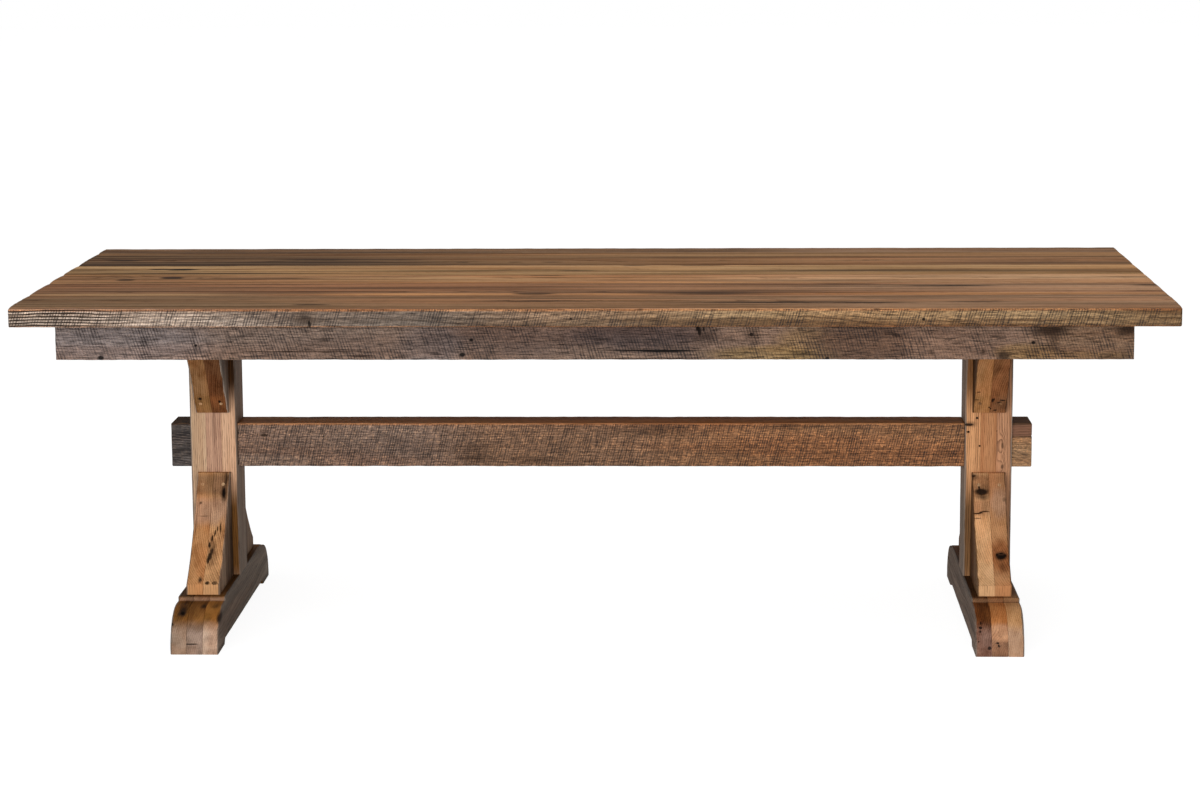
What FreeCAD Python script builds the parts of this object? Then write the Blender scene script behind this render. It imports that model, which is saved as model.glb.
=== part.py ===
import FreeCAD, Part
import os
import re

import Sketcher
from FreeCAD import Placement, Rotation, Vector

# Trestle dining table in reclaimed oak, in millimetres. X runs along the table, Y across it with
# the front at minus Y, and Z is up. The origin is on the floor under the middle of the top.
#
# Each of the two trestles is a lamination of three plies. The middle ply of the post is the longest:
# it is a tenon in the foot below and in the header above, and the beam between the trestles is
# tenoned through the post's middle and inner plies and bolted from outside. Short blocks on the
# outer faces cover the bolts and read as the ends of one long beam. Four scrolled corbels brace
# each post, and a housed apron runs under a top of six planks joined by loose tongues.

# ------------------------------------------------------------------------------- driving sizes

SIZES = [
    ("table_length", 2438, "overall, along X"),
    ("table_height", 775, "floor to the top face"),
    ("top_thickness", 38, "planks of the top"),
    ("plank_1", 216, "width of the front plank"),
    ("plank_2", 200, "width of the second plank"),
    ("plank_3", 145, "width of the third plank"),
    ("plank_4", 171, "width of the fourth plank"),
    ("plank_5", 239, "width of the fifth plank"),
    ("plank_6", 96, "width of the back plank"),
    ("top_arris", 3, "easing of the top's outer edges"),
    ("top_corner", 7, "rounding of the top's corners in plan"),
    ("tongue_thickness", 8, "loose tongues between the planks"),
    ("tongue_width", 26, "loose tongues, across the joint"),
    ("tongue_stop", 70, "end of a tongue to the end of the top"),
    ("fit_clearance", 0.2, "play of a glued tenon or tongue and of a screw in its slot"),
    ("apron_height", 76, "apron boards"),
    ("apron_thickness", 24, "apron boards"),
    ("apron_side_inset", 50, "long edge of the top to the apron"),
    ("apron_end_inset", 95, "end of the top to the apron"),
    ("housing_depth", 6, "housing of an end apron in a long one"),
    ("corner_block_side", 44, "square blocks in the apron's corners"),
    ("corner_block_height", 62, "square blocks in the apron's corners"),
    ("glue_block_side", 28, "blocks between apron and top"),
    ("glue_block_length", 110, "blocks between apron and top"),
    ("glue_block_gap", 173, "edge of a header to the nearest glue block"),
    ("header_thickness", 24, "board under the top that carries it on a trestle"),
    ("header_overhang", 27.5, "post's face to the edge of a header, along X"),
    ("header_gap", 3, "end of a header to the apron"),
    ("trestle_inset", 351, "end of the top to the middle of a trestle"),
    ("ply_thickness", 35, "three plies make a post or a foot"),
    ("post_depth", 104, "post, along Y"),
    ("post_tenon_width", 78, "middle ply's tenons, along Y"),
    ("foot_tenon_depth", 64, "middle ply's tenon in the foot"),
    ("foot_flat_margin", 17, "corbel's nose to the end of the foot's raised flat"),
    ("foot_step", 9, "drop at the ends of the raised flat"),
    ("foot_ledge", 29, "lower flat between the step and the round end"),
    ("foot_round", 85, "radius of the foot's quarter round ends"),
    ("foot_edge", 8, "upright end of the foot below the round"),
    ("foot_pad_length", 88, "bearing pad at each end of a foot"),
    ("foot_relief", 12, "lift of the foot between its pads"),
    ("foot_relief_run", 9, "slope at the ends of the relief, along Y"),
    ("corbel_ply", 37, "two plies make a corbel"),
    ("corbel_height", 237, "corbel, along the post"),
    ("corbel_reach", 198, "corbel, out from the post"),
    ("corbel_round", 540, "radius of the corbel's hollow curve"),
    ("toe_thickness", 11, "corbel at its tip"),
    ("toe_land", 46, "height of the straight land behind the tip"),
    ("toe_angle", 36, "degrees between the land and the post"),
    ("nose_height", 23, "upright end of the corbel"),
    ("beam_height", 99, "beam between the trestles"),
    ("beam_thickness", 88, "beam, along Y"),
    ("beam_rise", 350, "floor to the beam's underside"),
    ("beam_tenon_height", 74, "tenon on each end of the beam"),
    ("beam_tenon_width", 56, "tenon on each end of the beam, along Y"),
    ("stub_length", 45, "block on the outside of a post, along X"),
    ("stub_upper_height", 29, "upper layer of the two-layer block"),
    ("arris", 2, "easing of the exposed edges"),
    ("bolt_diameter", 12, "lag bolt that holds the beam to a trestle"),
    ("bolt_length", 120, "under the head"),
    ("bolt_drop", 8, "bolt below the beam's middle"),
    ("bolt_head_across", 19, "flats of the hexagon head"),
    ("bolt_head_height", 8, "hexagon head"),
    ("washer_diameter", 34, "bolt washer"),
    ("washer_thickness", 3, "bolt washer"),
    ("recess_margin", 2, "hollow in a block, around and over the bolt head and washer"),
    ("dowel_diameter", 10, "dowels of the outer blocks"),
    ("dowel_length", 44, "half in the block, half in the post"),
    ("dowel_spacing", 62, "along Y"),
    ("dowel_margin", 14, "top or underside of a block to its dowels"),
    ("peg_diameter", 8, "pegs through the corbels' toes"),
    ("peg_length", 62, "pegs through the corbels' toes"),
    ("peg_drop", 23, "tip of a toe to its pegs, along the post"),
    ("peg_wall", 1.5, "wood between a peg and the post's middle ply"),
    ("peg_flats", 8, "sides of the pegs, dowels and screws and of their holes"),
    ("screw_diameter", 6, "lag screws that hold the top to the headers"),
    ("screw_length", 50, "under the head"),
    ("screw_head_across", 10, "flats of the hexagon head"),
    ("screw_head_height", 4, "hexagon head"),
    ("screw_gap", 13.5, "post's face to the middle of a screw, along X"),
    ("slot_travel", 8, "length that a slot adds for the top's movement"),
]

NAMES = {name for name, value, note in SIZES}

doc = FreeCAD.newDocument("trestle_dining_table")
sheet = doc.addObject("Spreadsheet::Sheet", "Size")
for row, (name, value, note) in enumerate(SIZES, start=1):
    sheet.set(f"A{row}", name)
    sheet.set(f"B{row}", str(value))
    sheet.set(f"C{row}", note)
    sheet.setAlias(f"B{row}", name)
gauge = doc.addObject("App::FeaturePython", "Gauge")
gauge.addProperty("App::PropertyFloat", "Reading")
doc.recompute()

# Sizes that follow from the driving ones, as expressions on the sheet.
DEPTH = "(plank_1 + plank_2 + plank_3 + plank_4 + plank_5 + plank_6)"
TOP_UNDERSIDE = "(table_height - top_thickness)"
HEADER_UNDERSIDE = f"({TOP_UNDERSIDE} - header_thickness)"
APRON_LENGTH = "(table_length - 2 * apron_end_inset)"
APRON_DEPTH = f"({DEPTH} - 2 * apron_side_inset)"
INNER_DEPTH = f"({APRON_DEPTH} - 2 * apron_thickness)"
TRESTLE_X = "(table_length / 2 - trestle_inset)"
TRESTLE_WIDTH = "(3 * ply_thickness)"
HEADER_WIDTH = f"({TRESTLE_WIDTH} + 2 * header_overhang)"
SCREW_OFFSET = f"({TRESTLE_WIDTH} / 2 + screw_gap)"
GLUE_BLOCK_X = f"({TRESTLE_X} - {HEADER_WIDTH} / 2 - glue_block_gap - glue_block_length / 2)"
FOOT_HEIGHT = "(foot_edge + foot_round + foot_step)"
FOOT_FLAT = "(post_depth / 2 + corbel_reach + foot_flat_margin)"
FOOT_REACH = f"({FOOT_FLAT} + foot_ledge + foot_round)"
BEAM_MIDDLE = "(beam_rise + beam_height / 2)"
BEAM_SHOULDERS = f"(2 * {TRESTLE_X} - {TRESTLE_WIDTH})"
STUB_LOWER_HEIGHT = "(beam_height - stub_upper_height)"
BOLT_HEIGHT = f"({BEAM_MIDDLE} - bolt_drop)"
RECESS_DIAMETER = "(washer_diameter + 2 * recess_margin)"
RECESS_DEPTH = "(washer_thickness + bolt_head_height + recess_margin)"
TOE_REACH = "(toe_thickness + toe_land * tan(toe_angle))"
PEG_X = "(ply_thickness / 2 + peg_wall + peg_diameter / 2)"
PEG_REACH = "(toe_thickness + peg_drop * tan(toe_angle))"
PEG_RISE = "(corbel_height - peg_drop)"


# ------------------------------------------------------------------------------ building tools

def bound(text):
    """The expression with the sheet's name before each size that it uses."""
    return re.sub(r"[a-z]\w*", lambda word: "Size." + word[0] if word[0] in NAMES else word[0], text)


def number(text):
    """What an expression on the sheet comes to now."""
    tie(gauge, "Reading", text)
    gauge.recompute()
    return gauge.Reading


def tie(thing, prop, text):
    """Bind a property to an expression on the sheet."""
    thing.setExpression(prop, bound(text))


def settle(thing, x="0", y="0", z="0", axis=None, angle="180"):
    """Place an object at x, y, z, turned about an axis; all four follow the sheet."""
    if axis is not None:
        thing.Placement = Placement(Vector(), Rotation(axis, number(angle)))
        if angle != "180":
            tie(thing, "Placement.Rotation.Angle", angle)
    tie(thing, "Placement.Base.x", x)
    tie(thing, "Placement.Base.y", y)
    tie(thing, "Placement.Base.z", z)


def new_body(label):
    body = doc.addObject("PartDesign::Body", label)
    body.Label = label
    return body


def new_sketch(body, plane):
    """A sketch on one of the body's own origin planes."""
    sketch = body.newObject("Sketcher::SketchObject", "Sketch")
    support = next(part for part in body.Origin.OriginFeatures if part.Role == plane)
    sketch.AttachmentSupport = [(support, "")]
    sketch.MapMode = "FlatFace"
    return sketch


def fix_point(sketch, edge, end, x, y):
    """Tie one end or centre of a sketch edge to two expressions, measured from the origin."""
    for kind, text in (("DistanceX", x), ("DistanceY", y)):
        index = sketch.addConstraint(Sketcher.Constraint(kind, -1, 1, edge, end, number(text)))
        tie(sketch, f"Constraints[{index}]", text)


def draw_outline(sketch, corners):
    """A closed outline. A corner is (x, y), or (x, y, radius) where a hollow or round edge leaves it:
    the radius is positive when the edge bulges to the left of the way it runs. A half circle is
    (x, y, radius, True) and is held by its tangent, because its radius follows from its ends."""
    points = [Vector(number(corner[0]), number(corner[1]), 0) for corner in corners]
    edges = []
    for index, corner in enumerate(corners):
        start = points[index]
        end = points[(index + 1) % len(points)]
        if len(corner) == 2:
            curve = Part.LineSegment(start, end)
        else:
            curve = bulged_arc(start, end, number(corner[2]))
        edges.append(sketch.addGeometry(curve, False))
    for index, corner in enumerate(corners):
        edge = edges[index]
        before = edges[index - 1]
        here = end_at(sketch, edge, points[index])
        meeting = "Tangent" if len(corner) == 4 else "Coincident"
        sketch.addConstraint(Sketcher.Constraint(
            meeting, before, end_at(sketch, before, points[index]), edge, here))
        fix_point(sketch, edge, here, corner[0], corner[1])
        if len(corner) == 3:
            size = abs(number(corner[2]))
            radius = sketch.addConstraint(Sketcher.Constraint("Radius", edge, size))
            tie(sketch, f"Constraints[{radius}]", f"abs({corner[2]})")


def bulged_arc(start, end, radius):
    """An arc of a signed radius between two points, through the middle of its bulge."""
    chord = end - start
    left = Vector(-chord.y, chord.x, 0).normalize()
    rise = abs(radius) - max(radius * radius - chord.Length ** 2 / 4, 0) ** 0.5
    middle = (start + end) / 2 + left * (rise if radius > 0 else -rise)
    return Part.Arc(start, middle, end)


def end_at(sketch, edge, point):
    """Which end of a sketch edge, 1 or 2, lies at the point."""
    return 1 if sketch.getPoint(edge, 1).distanceToPoint(point) < 1e-4 else 2


def draw_box(sketch, low_x, low_y, high_x, high_y):
    draw_outline(sketch, [(low_x, low_y), (high_x, low_y), (high_x, high_y), (low_x, high_y)])


def draw_circle(sketch, x, y, diameter):
    centre = Vector(number(x), number(y), 0)
    edge = sketch.addGeometry(Part.Circle(centre, Vector(0, 0, 1), number(diameter) / 2), False)
    fix_point(sketch, edge, 3, x, y)
    index = sketch.addConstraint(Sketcher.Constraint("Diameter", edge, number(diameter)))
    tie(sketch, f"Constraints[{index}]", diameter)


def pad(body, sketch, length, way="Along"):
    """Thicken a sketch along its normal, against it, or to both sides."""
    feature = body.newObject("PartDesign::Pad", "Pad")
    feature.Profile = sketch
    feature.Reversed = way == "Against"
    feature.Midplane = way == "Both"
    tie(feature, "Length", length)
    doc.recompute()


def pocket(body, sketch, length, way="Against"):
    """Cut a sketch's outline out of the body; a cut that misses the solid is an error."""
    before = body.Shape.Volume
    feature = body.newObject("PartDesign::Pocket", "Pocket")
    feature.Profile = sketch
    feature.Reversed = way == "Along"
    feature.Midplane = way == "Both"
    tie(feature, "Length", length)
    doc.recompute()
    check_cut(body, before)


def bore(body, diameter, depth, x, y, z, axis=None, angle="180"):
    """A round hole from a point in the wood: the way out is Z, turned about the axis."""
    hole = body.newObject("PartDesign::SubtractiveCylinder", "Bore")
    tie(hole, "Radius", f"{diameter} / 2")
    sink(body, hole, depth, x, y, z, axis, angle)


def peg_hole(body, diameter, depth, x, y, z, axis=None, angle="180"):
    """As bore, with flat sides, for a peg, dowel or screw."""
    hole = body.newObject("PartDesign::SubtractivePrism", "PegHole")
    tie(hole, "Polygon", "peg_flats")
    tie(hole, "Circumradius", f"{diameter} / 2")
    sink(body, hole, depth, x, y, z, axis, angle)


def sink(body, hole, depth, x, y, z, axis, angle):
    before = body.Shape.Volume
    tie(hole, "Height", depth)
    settle(hole, x, y, z, axis, angle)
    doc.recompute()
    check_cut(body, before)


def check_cut(body, before):
    if body.Shape.Volume > before - 1:
        raise RuntimeError(f"{body.Label}: a cut took nothing away")


def ease(body, size, kind, keep):
    """Chamfer or fillet those edges of the body so far for which keep(edge) is true."""
    base = body.Tip
    names = [f"Edge{index}" for index, edge in enumerate(base.Shape.Edges, 1) if keep(edge)]
    if not names:
        raise RuntimeError(f"{body.Label}: no edge to ease")
    feature = body.newObject("PartDesign::" + kind, kind)
    feature.Base = (base, names)
    tie(feature, "Size" if kind == "Chamfer" else "Radius", size)
    doc.recompute()


def spans(edge, axis):
    """How far an edge runs along X, Y or Z."""
    box = edge.BoundBox
    return {"X": box.XLength, "Y": box.YLength, "Z": box.ZLength}[axis]


def touches(edge, axis, text):
    """Whether an edge lies wholly at one coordinate."""
    box = edge.BoundBox
    low, high = {"X": (box.XMin, box.XMax), "Y": (box.YMin, box.YMax), "Z": (box.ZMin, box.ZMax)}[axis]
    place = number(text)
    return abs(low - place) < 1e-3 and abs(high - place) < 1e-3


def new_cylinder(diameter, height, x, y, z, axis=None, angle="180"):
    rod = doc.addObject("Part::Cylinder", "Rod")
    tie(rod, "Radius", f"{diameter} / 2")
    tie(rod, "Height", height)
    settle(rod, x, y, z, axis, angle)
    return rod


def new_prism(flats, circumradius, height, x, y, z, axis=None, angle="180"):
    prism = doc.addObject("Part::Prism", "Prism")
    tie(prism, "Polygon", flats)
    tie(prism, "Circumradius", circumradius)
    tie(prism, "Height", height)
    settle(prism, x, y, z, axis, angle)
    return prism


def new_peg(diameter, height, x, y, z, axis=None, angle="180"):
    return new_prism("peg_flats", f"{diameter} / 2", height, x, y, z, axis, angle)


def new_hexagon(across, height, x, y, z, axis=None, angle="180"):
    return new_prism("6", f"{across} / 2 / cos(30)", height, x, y, z, axis, angle)


def new_block(length, depth, height, x, y, z):
    block = doc.addObject("Part::Box", "Block")
    tie(block, "Length", length)
    tie(block, "Width", depth)
    tie(block, "Height", height)
    settle(block, x, y, z)
    return block


def join(kind, base, tool):
    """A Part::Fuse or Part::Cut of two objects."""
    result = doc.addObject("Part::" + kind, kind)
    result.Base = base
    result.Tool = tool
    return result


def new_group(label, solids):
    """Like solids that are kept as one node."""
    group = doc.addObject("Part::Compound", label)
    group.Label = label
    group.Links = solids
    return group


# ----------------------------------------------------------------------------- top of six planks

PLANKS = 6


def plank_front(index):
    """Where the front edge of a plank lies."""
    before = "".join(f" + plank_{earlier}" for earlier in range(1, index))
    return f"(-{DEPTH} / 2{before})"


def make_plank(index):
    """One plank, grooved for its tongues, drilled for the headers' screws and eased outside."""
    body = new_body(f"top_plank_{index}")
    face = new_sketch(body, "XY_Plane")
    draw_box(face, "-table_length / 2", "0", "table_length / 2", f"plank_{index}")
    pad(body, face, "top_thickness")
    ease_plank(body, index)
    groove = new_sketch(body, "YZ_Plane")
    reach = "(tongue_width / 2 + fit_clearance)"
    low = "(top_thickness / 2 - tongue_thickness / 2 - fit_clearance)"
    high = "(top_thickness / 2 + tongue_thickness / 2 + fit_clearance)"
    if index > 1:
        draw_box(groove, f"-{reach}", low, reach, high)
    if index < PLANKS:
        draw_box(groove, f"plank_{index} - {reach}", low, f"plank_{index} + {reach}", high)
    pocket(body, groove, "table_length - 2 * tongue_stop", "Both")
    if index < PLANKS:
        for side in (-1, 1):
            x = f"{side} * {TRESTLE_X} + {screw_x(index)}"
            depth = "screw_length - header_thickness"
            peg_hole(body, "screw_diameter", depth, x, f"plank_{index} / 2", "0")
    settle(body, "0", plank_front(index), TOP_UNDERSIDE)
    return body


def ease_plank(body, index):
    """Round an outer plank's corners in plan, then ease every edge that isn't in a joint."""
    outer = {1: "0", PLANKS: f"plank_{index}"}.get(index)
    joints = [place for place in ("0", f"plank_{index}") if place != outer]
    if outer is not None:
        ease(body, "top_corner", "Fillet", lambda edge: spans(edge, "Z") > 1 and touches(edge, "Y", outer))
    ease(body, "top_arris", "Chamfer", lambda edge: spans(edge, "Z") < 1e-3
         and not any(touches(edge, "Y", place) for place in joints))


def screw_x(index):
    """A header's screws change sides from plank to plank."""
    return SCREW_OFFSET if index % 2 else "-" + SCREW_OFFSET


def make_tongues():
    """Five loose tongues, one in each joint between planks."""
    solids = []
    for index in range(2, PLANKS + 1):
        solids.append(new_block(
            "table_length - 2 * tongue_stop - 2 * fit_clearance", "tongue_width", "tongue_thickness",
            "tongue_stop + fit_clearance - table_length / 2",
            f"{plank_front(index)} - tongue_width / 2",
            f"{TOP_UNDERSIDE} + top_thickness / 2 - tongue_thickness / 2"))
    return new_group("top_tongues", solids)


# --------------------------------------------------------------------------------------- apron

APRON_UNDERSIDE = f"({TOP_UNDERSIDE} - apron_height)"


def make_long_apron(label, axis):
    """A long board with a housing near each end for the end aprons; its inner face is at plus Y."""
    body = new_body(label)
    section = new_sketch(body, "YZ_Plane")
    draw_box(section, "0", "0", "apron_thickness", "apron_height")
    pad(body, section, APRON_LENGTH, "Both")
    ease(body, "arris", "Chamfer", lambda edge: spans(edge, "X") > 1 and touches(edge, "Z", "0")
         and touches(edge, "Y", "0"))
    for side in (-1, 1):
        housing = new_sketch(body, "XY_Plane")
        near = f"{side} * ({APRON_LENGTH} / 2 - apron_thickness)"
        far = f"{side} * {APRON_LENGTH} / 2"
        low, high = (near, far) if side > 0 else (far, near)
        draw_box(housing, low, "apron_thickness - housing_depth", high, "apron_thickness")
        pocket(body, housing, "apron_height", "Along")
    front = f"{APRON_DEPTH} / 2"
    settle(body, "0", f"-{front}" if axis is None else front, APRON_UNDERSIDE, axis)
    return body


def make_end_apron(label, side):
    """A short board between the long aprons, let into their housings."""
    body = new_body(label)
    section = new_sketch(body, "XZ_Plane")
    draw_box(section, "0", "0", "apron_thickness", "apron_height")
    pad(body, section, f"{INNER_DEPTH} + 2 * housing_depth", "Both")
    ease(body, "arris", "Chamfer", lambda edge: spans(edge, "Y") > 1 and touches(edge, "Z", "0")
         and touches(edge, "X", "0"))
    axis = None if side < 0 else Vector(0, 0, 1)
    settle(body, f"{side} * {APRON_LENGTH} / 2", "0", APRON_UNDERSIDE, axis)
    return body


def make_corner_blocks():
    """Square blocks glued into the four inner corners of the apron, up against the top."""
    solids = []
    for side in (-1, 1):
        for way in (-1, 1):
            x = f"{side} * ({APRON_LENGTH} / 2 - apron_thickness - corner_block_side / 2)"
            y = f"{way} * ({INNER_DEPTH} / 2 - corner_block_side / 2)"
            solids.append(new_block(
                "corner_block_side", "corner_block_side", "corner_block_height",
                f"{x} - corner_block_side / 2", f"{y} - corner_block_side / 2",
                f"{TOP_UNDERSIDE} - corner_block_height"))
    return new_group("apron_corner_blocks", solids)


def make_glue_blocks():
    """Small blocks in the angle between the apron and the top."""
    solids = []
    for way in (-1, 1):
        y = f"{way} * ({INNER_DEPTH} / 2 - glue_block_side / 2) - glue_block_side / 2"
        for place in (-1, 0, 1):
            x = f"{place} * {GLUE_BLOCK_X} - glue_block_length / 2"
            solids.append(new_block(
                "glue_block_length", "glue_block_side", "glue_block_side",
                x, y, f"{TOP_UNDERSIDE} - glue_block_side"))
    for side in (-1, 1):
        x = f"{side} * ({APRON_LENGTH} / 2 - apron_thickness - glue_block_side / 2) - glue_block_side / 2"
        solids.append(new_block(
            "glue_block_side", "glue_block_length", "glue_block_side",
            x, "-glue_block_length / 2", f"{TOP_UNDERSIDE} - glue_block_side"))
    return new_group("apron_glue_blocks", solids)


# ------------------------------------------------------------------------------------- trestles

SIDES = {"left": -1, "right": 1}
PLIES = {"outer": 0, "middle": 1, "inner": 2}


def stand(body, side, x):
    """Put a piece that is drawn for the left trestle on its trestle, at x from the trestle's middle;
    the right one is turned."""
    sign = SIDES[side]
    axis = Vector(0, 0, 1) if sign > 0 else None
    settle(body, f"{sign} * ({TRESTLE_X} - ({x}))", "0", "0", axis)


def ply_start(ply):
    """Outer face of a ply, from the trestle's middle."""
    return f"({PLIES[ply]} - 1.5) * ply_thickness"


def make_foot_ply(side, ply):
    """One ply of a foot: raised flat, step, quarter round ends and relief between two pads. The middle
    ply is notched from above for the post's tenon."""
    body = new_body(f"foot_ply_{ply}_{side}")
    face = new_sketch(body, "YZ_Plane")
    end = FOOT_REACH
    ledge = "(foot_edge + foot_round)"
    corners = [
        (f"-{end} + foot_pad_length", "0"),
        (f"-{end} + foot_pad_length + foot_relief_run", "foot_relief"),
        (f"{end} - foot_pad_length - foot_relief_run", "foot_relief"),
        (f"{end} - foot_pad_length", "0"),
        (end, "0"),
        (end, "foot_edge", "-foot_round"),
        (f"{end} - foot_round", ledge),
        (FOOT_FLAT, ledge),
        (FOOT_FLAT, FOOT_HEIGHT),
    ]
    if ply == "middle":
        notch = "(post_tenon_width / 2 + fit_clearance)"
        floor = f"{FOOT_HEIGHT} - foot_tenon_depth - fit_clearance"
        corners += [(notch, FOOT_HEIGHT), (notch, floor), (f"-{notch}", floor), (f"-{notch}", FOOT_HEIGHT)]
    corners += [
        (f"-{FOOT_FLAT}", FOOT_HEIGHT),
        (f"-{FOOT_FLAT}", ledge),
        (f"-{end} + foot_round", ledge, "-foot_round"),
        (f"-{end}", "foot_edge"),
        (f"-{end}", "0"),
    ]
    draw_outline(face, corners)
    pad(body, face, "ply_thickness")
    if ply != "middle":
        exposed = "0" if ply == "outer" else "ply_thickness"
        ease(body, "arris", "Chamfer", lambda edge: touches(edge, "X", exposed)
             and edge.BoundBox.ZMin > number("foot_edge") - 1e-3)
    stand(body, side, ply_start(ply))
    return body


def make_post_ply(side, ply):
    """One ply of a post. The middle one runs on as a tenon at both ends; it and the inner one are
    mortised for the beam, and the outer one is bored for the beam's bolts and the block's dowels."""
    body = new_body(f"post_ply_{ply}_{side}")
    face = new_sketch(body, "YZ_Plane")
    wide = "post_depth / 2"
    tenon = "post_tenon_width / 2"
    top = HEADER_UNDERSIDE
    if ply == "middle":
        low = f"{FOOT_HEIGHT} - foot_tenon_depth"
        high = f"{TOP_UNDERSIDE} - fit_clearance"
        draw_outline(face, [
            (f"-{tenon}", low), (tenon, low), (tenon, FOOT_HEIGHT), (wide, FOOT_HEIGHT),
            (wide, top), (tenon, top), (tenon, high), (f"-{tenon}", high),
            (f"-{tenon}", top), (f"-{wide}", top), (f"-{wide}", FOOT_HEIGHT), (f"-{tenon}", FOOT_HEIGHT)])
    else:
        draw_box(face, f"-{wide}", FOOT_HEIGHT, wide, top)
    if ply != "outer":
        half_width = "(beam_tenon_width / 2 + fit_clearance)"
        half_height = "(beam_tenon_height / 2 + fit_clearance)"
        draw_box(face, f"-{half_width}", f"{BEAM_MIDDLE} - {half_height}",
                 half_width, f"{BEAM_MIDDLE} + {half_height}")
    pad(body, face, "ply_thickness")
    if ply != "middle":
        exposed = "0" if ply == "outer" else "ply_thickness"
        ease(body, "arris", "Chamfer", lambda edge: touches(edge, "X", exposed)
             and abs(edge.BoundBox.YMin) > number(wide) - 1e-3 and spans(edge, "Z") > 1)
        drill_for_pegs(body, ply)
    if ply == "outer":
        bore_for_beam(body)
    stand(body, side, ply_start(ply))
    return body


def bore_for_beam(body):
    """The bolt's hole through the outer ply, and four dowel holes in its outer face."""
    bore(body, "bolt_diameter", "ply_thickness", "0", "0", BOLT_HEIGHT, Vector(0, 1, 0), "90")
    for way in (-1, 1):
        for height in DOWEL_HEIGHTS:
            peg_hole(body, "dowel_diameter", "dowel_length / 2", "0", f"{way} * dowel_spacing / 2", height,
                     Vector(0, 1, 0), "90")


def make_header(side):
    """The board that the top rests on, mortised for the post's upper tenon and slotted for screws."""
    body = new_body(f"header_{side}")
    length = f"({INNER_DEPTH} - 2 * header_gap)"
    face = new_sketch(body, "XY_Plane")
    draw_box(face, f"-{HEADER_WIDTH} / 2", f"-{length} / 2", f"{HEADER_WIDTH} / 2", f"{length} / 2")
    mortise = "(post_tenon_width / 2 + fit_clearance)"
    draw_box(face, "-ply_thickness / 2", f"-{mortise}", "ply_thickness / 2", mortise)
    pad(body, face, "header_thickness")
    slots = new_sketch(body, "XY_Plane")
    for index in range(1, PLANKS):
        x = screw_x(index)
        y = f"({plank_front(index)} + plank_{index} / 2)"
        half = "(screw_diameter / 2 + fit_clearance)"
        draw_outline(slots, [
            (f"{x} + {half}", f"{y} - slot_travel / 2"),
            (f"{x} + {half}", f"{y} + slot_travel / 2", f"-{half}", True),
            (f"{x} - {half}", f"{y} + slot_travel / 2"),
            (f"{x} - {half}", f"{y} - slot_travel / 2", f"-{half}", True)])
    pocket(body, slots, "header_thickness", "Along")
    settle(body, f"{SIDES[side]} * {TRESTLE_X}", "0", HEADER_UNDERSIDE)
    return body


# -------------------------------------------------------------------------------------- corbels

# Turns that put a corbel drawn for the front foot in its four places, and whether each swaps
# left and right.
CORBEL_PLACES = {
    "lower_front": (None, 1, -1, FOOT_HEIGHT),
    "lower_back": (Vector(0, 0, 1), -1, 1, FOOT_HEIGHT),
    "upper_front": (Vector(0, 1, 0), -1, -1, HEADER_UNDERSIDE),
    "upper_back": (Vector(1, 0, 0), 1, 1, HEADER_UNDERSIDE),
}


def make_corbel_ply(side, place, hand):
    """One of a corbel's two plies: tip, land, hollow curve and upright nose, with the hole for its peg.
    It is drawn with the post at Y 0 and the foot at Z 0."""
    axis, swap, front, height = CORBEL_PLACES[place]
    x_way = hand * swap
    body = new_body(f"corbel_{place}_{'ab'[hand > 0]}_{side}")
    face = new_sketch(body, "YZ_Plane")
    draw_outline(face, [
        ("0", "0"),
        ("0", "corbel_height"),
        ("-toe_thickness", "corbel_height"),
        (f"-{TOE_REACH}", "corbel_height - toe_land", "corbel_round"),
        ("-corbel_reach", "nose_height"),
        ("-corbel_reach", "0")])
    pad(body, face, "corbel_ply", "Along" if x_way > 0 else "Against")
    exposed = "corbel_ply" if x_way > 0 else "-corbel_ply"
    ease(body, "arris", "Chamfer", lambda edge: touches(edge, "X", exposed)
         and edge.BoundBox.YMin < -number("toe_thickness") - 1e-3 and spans(edge, "Z") > 1)
    peg_hole(body, "peg_diameter", "peg_length", f"{x_way} * {PEG_X}",
             f"cos(toe_angle) * peg_length - {PEG_REACH}", f"{PEG_RISE} - sin(toe_angle) * peg_length",
             Vector(1, 0, 0), "90 - toe_angle")
    settle(body, f"{SIDES[side]} * {TRESTLE_X}", f"{front} * post_depth / 2", height, axis)
    return body


def peg_seat(place):
    """The blind end of a corbel's peg holes, and the turn that points Z out along them."""
    front = CORBEL_PLACES[place][2]
    y = f"{front} * (post_depth / 2 + {PEG_REACH} - cos(toe_angle) * peg_length)"
    drop = f"({PEG_RISE} - sin(toe_angle) * peg_length)"
    axis = Vector(-front, 0, 0)
    if place.startswith("lower"):
        return y, f"{FOOT_HEIGHT} + {drop}", axis, "90 - toe_angle"
    return y, f"{HEADER_UNDERSIDE} - {drop}", axis, "90 + toe_angle"


def drill_for_pegs(body, ply):
    """Holes in an outer or inner ply of a post for one peg of each corbel."""
    x = f"ply_thickness * 1.5 - {PEG_X}"
    if ply == "inner":
        x = f"{PEG_X} - ply_thickness / 2"
    for place in CORBEL_PLACES:
        y, z, axis, angle = peg_seat(place)
        peg_hole(body, "peg_diameter", "peg_length", x, y, z, axis, angle)


def make_pegs():
    """One peg for each corbel ply, square to the land and flush with it."""
    pegs = []
    for sign in SIDES.values():
        for hand in (-1, 1):
            x = f"{sign} * {TRESTLE_X} + {hand} * {PEG_X}"
            for place in CORBEL_PLACES:
                y, z, axis, angle = peg_seat(place)
                pegs.append(new_peg("peg_diameter", "peg_length", x, y, z, axis, angle))
    return new_group("corbel_pegs", pegs)


# ------------------------------------------------------------------------ beam, bolts and blocks

DOWEL_HEIGHTS = ["beam_rise + dowel_margin", "beam_rise + beam_height - dowel_margin"]


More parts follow.
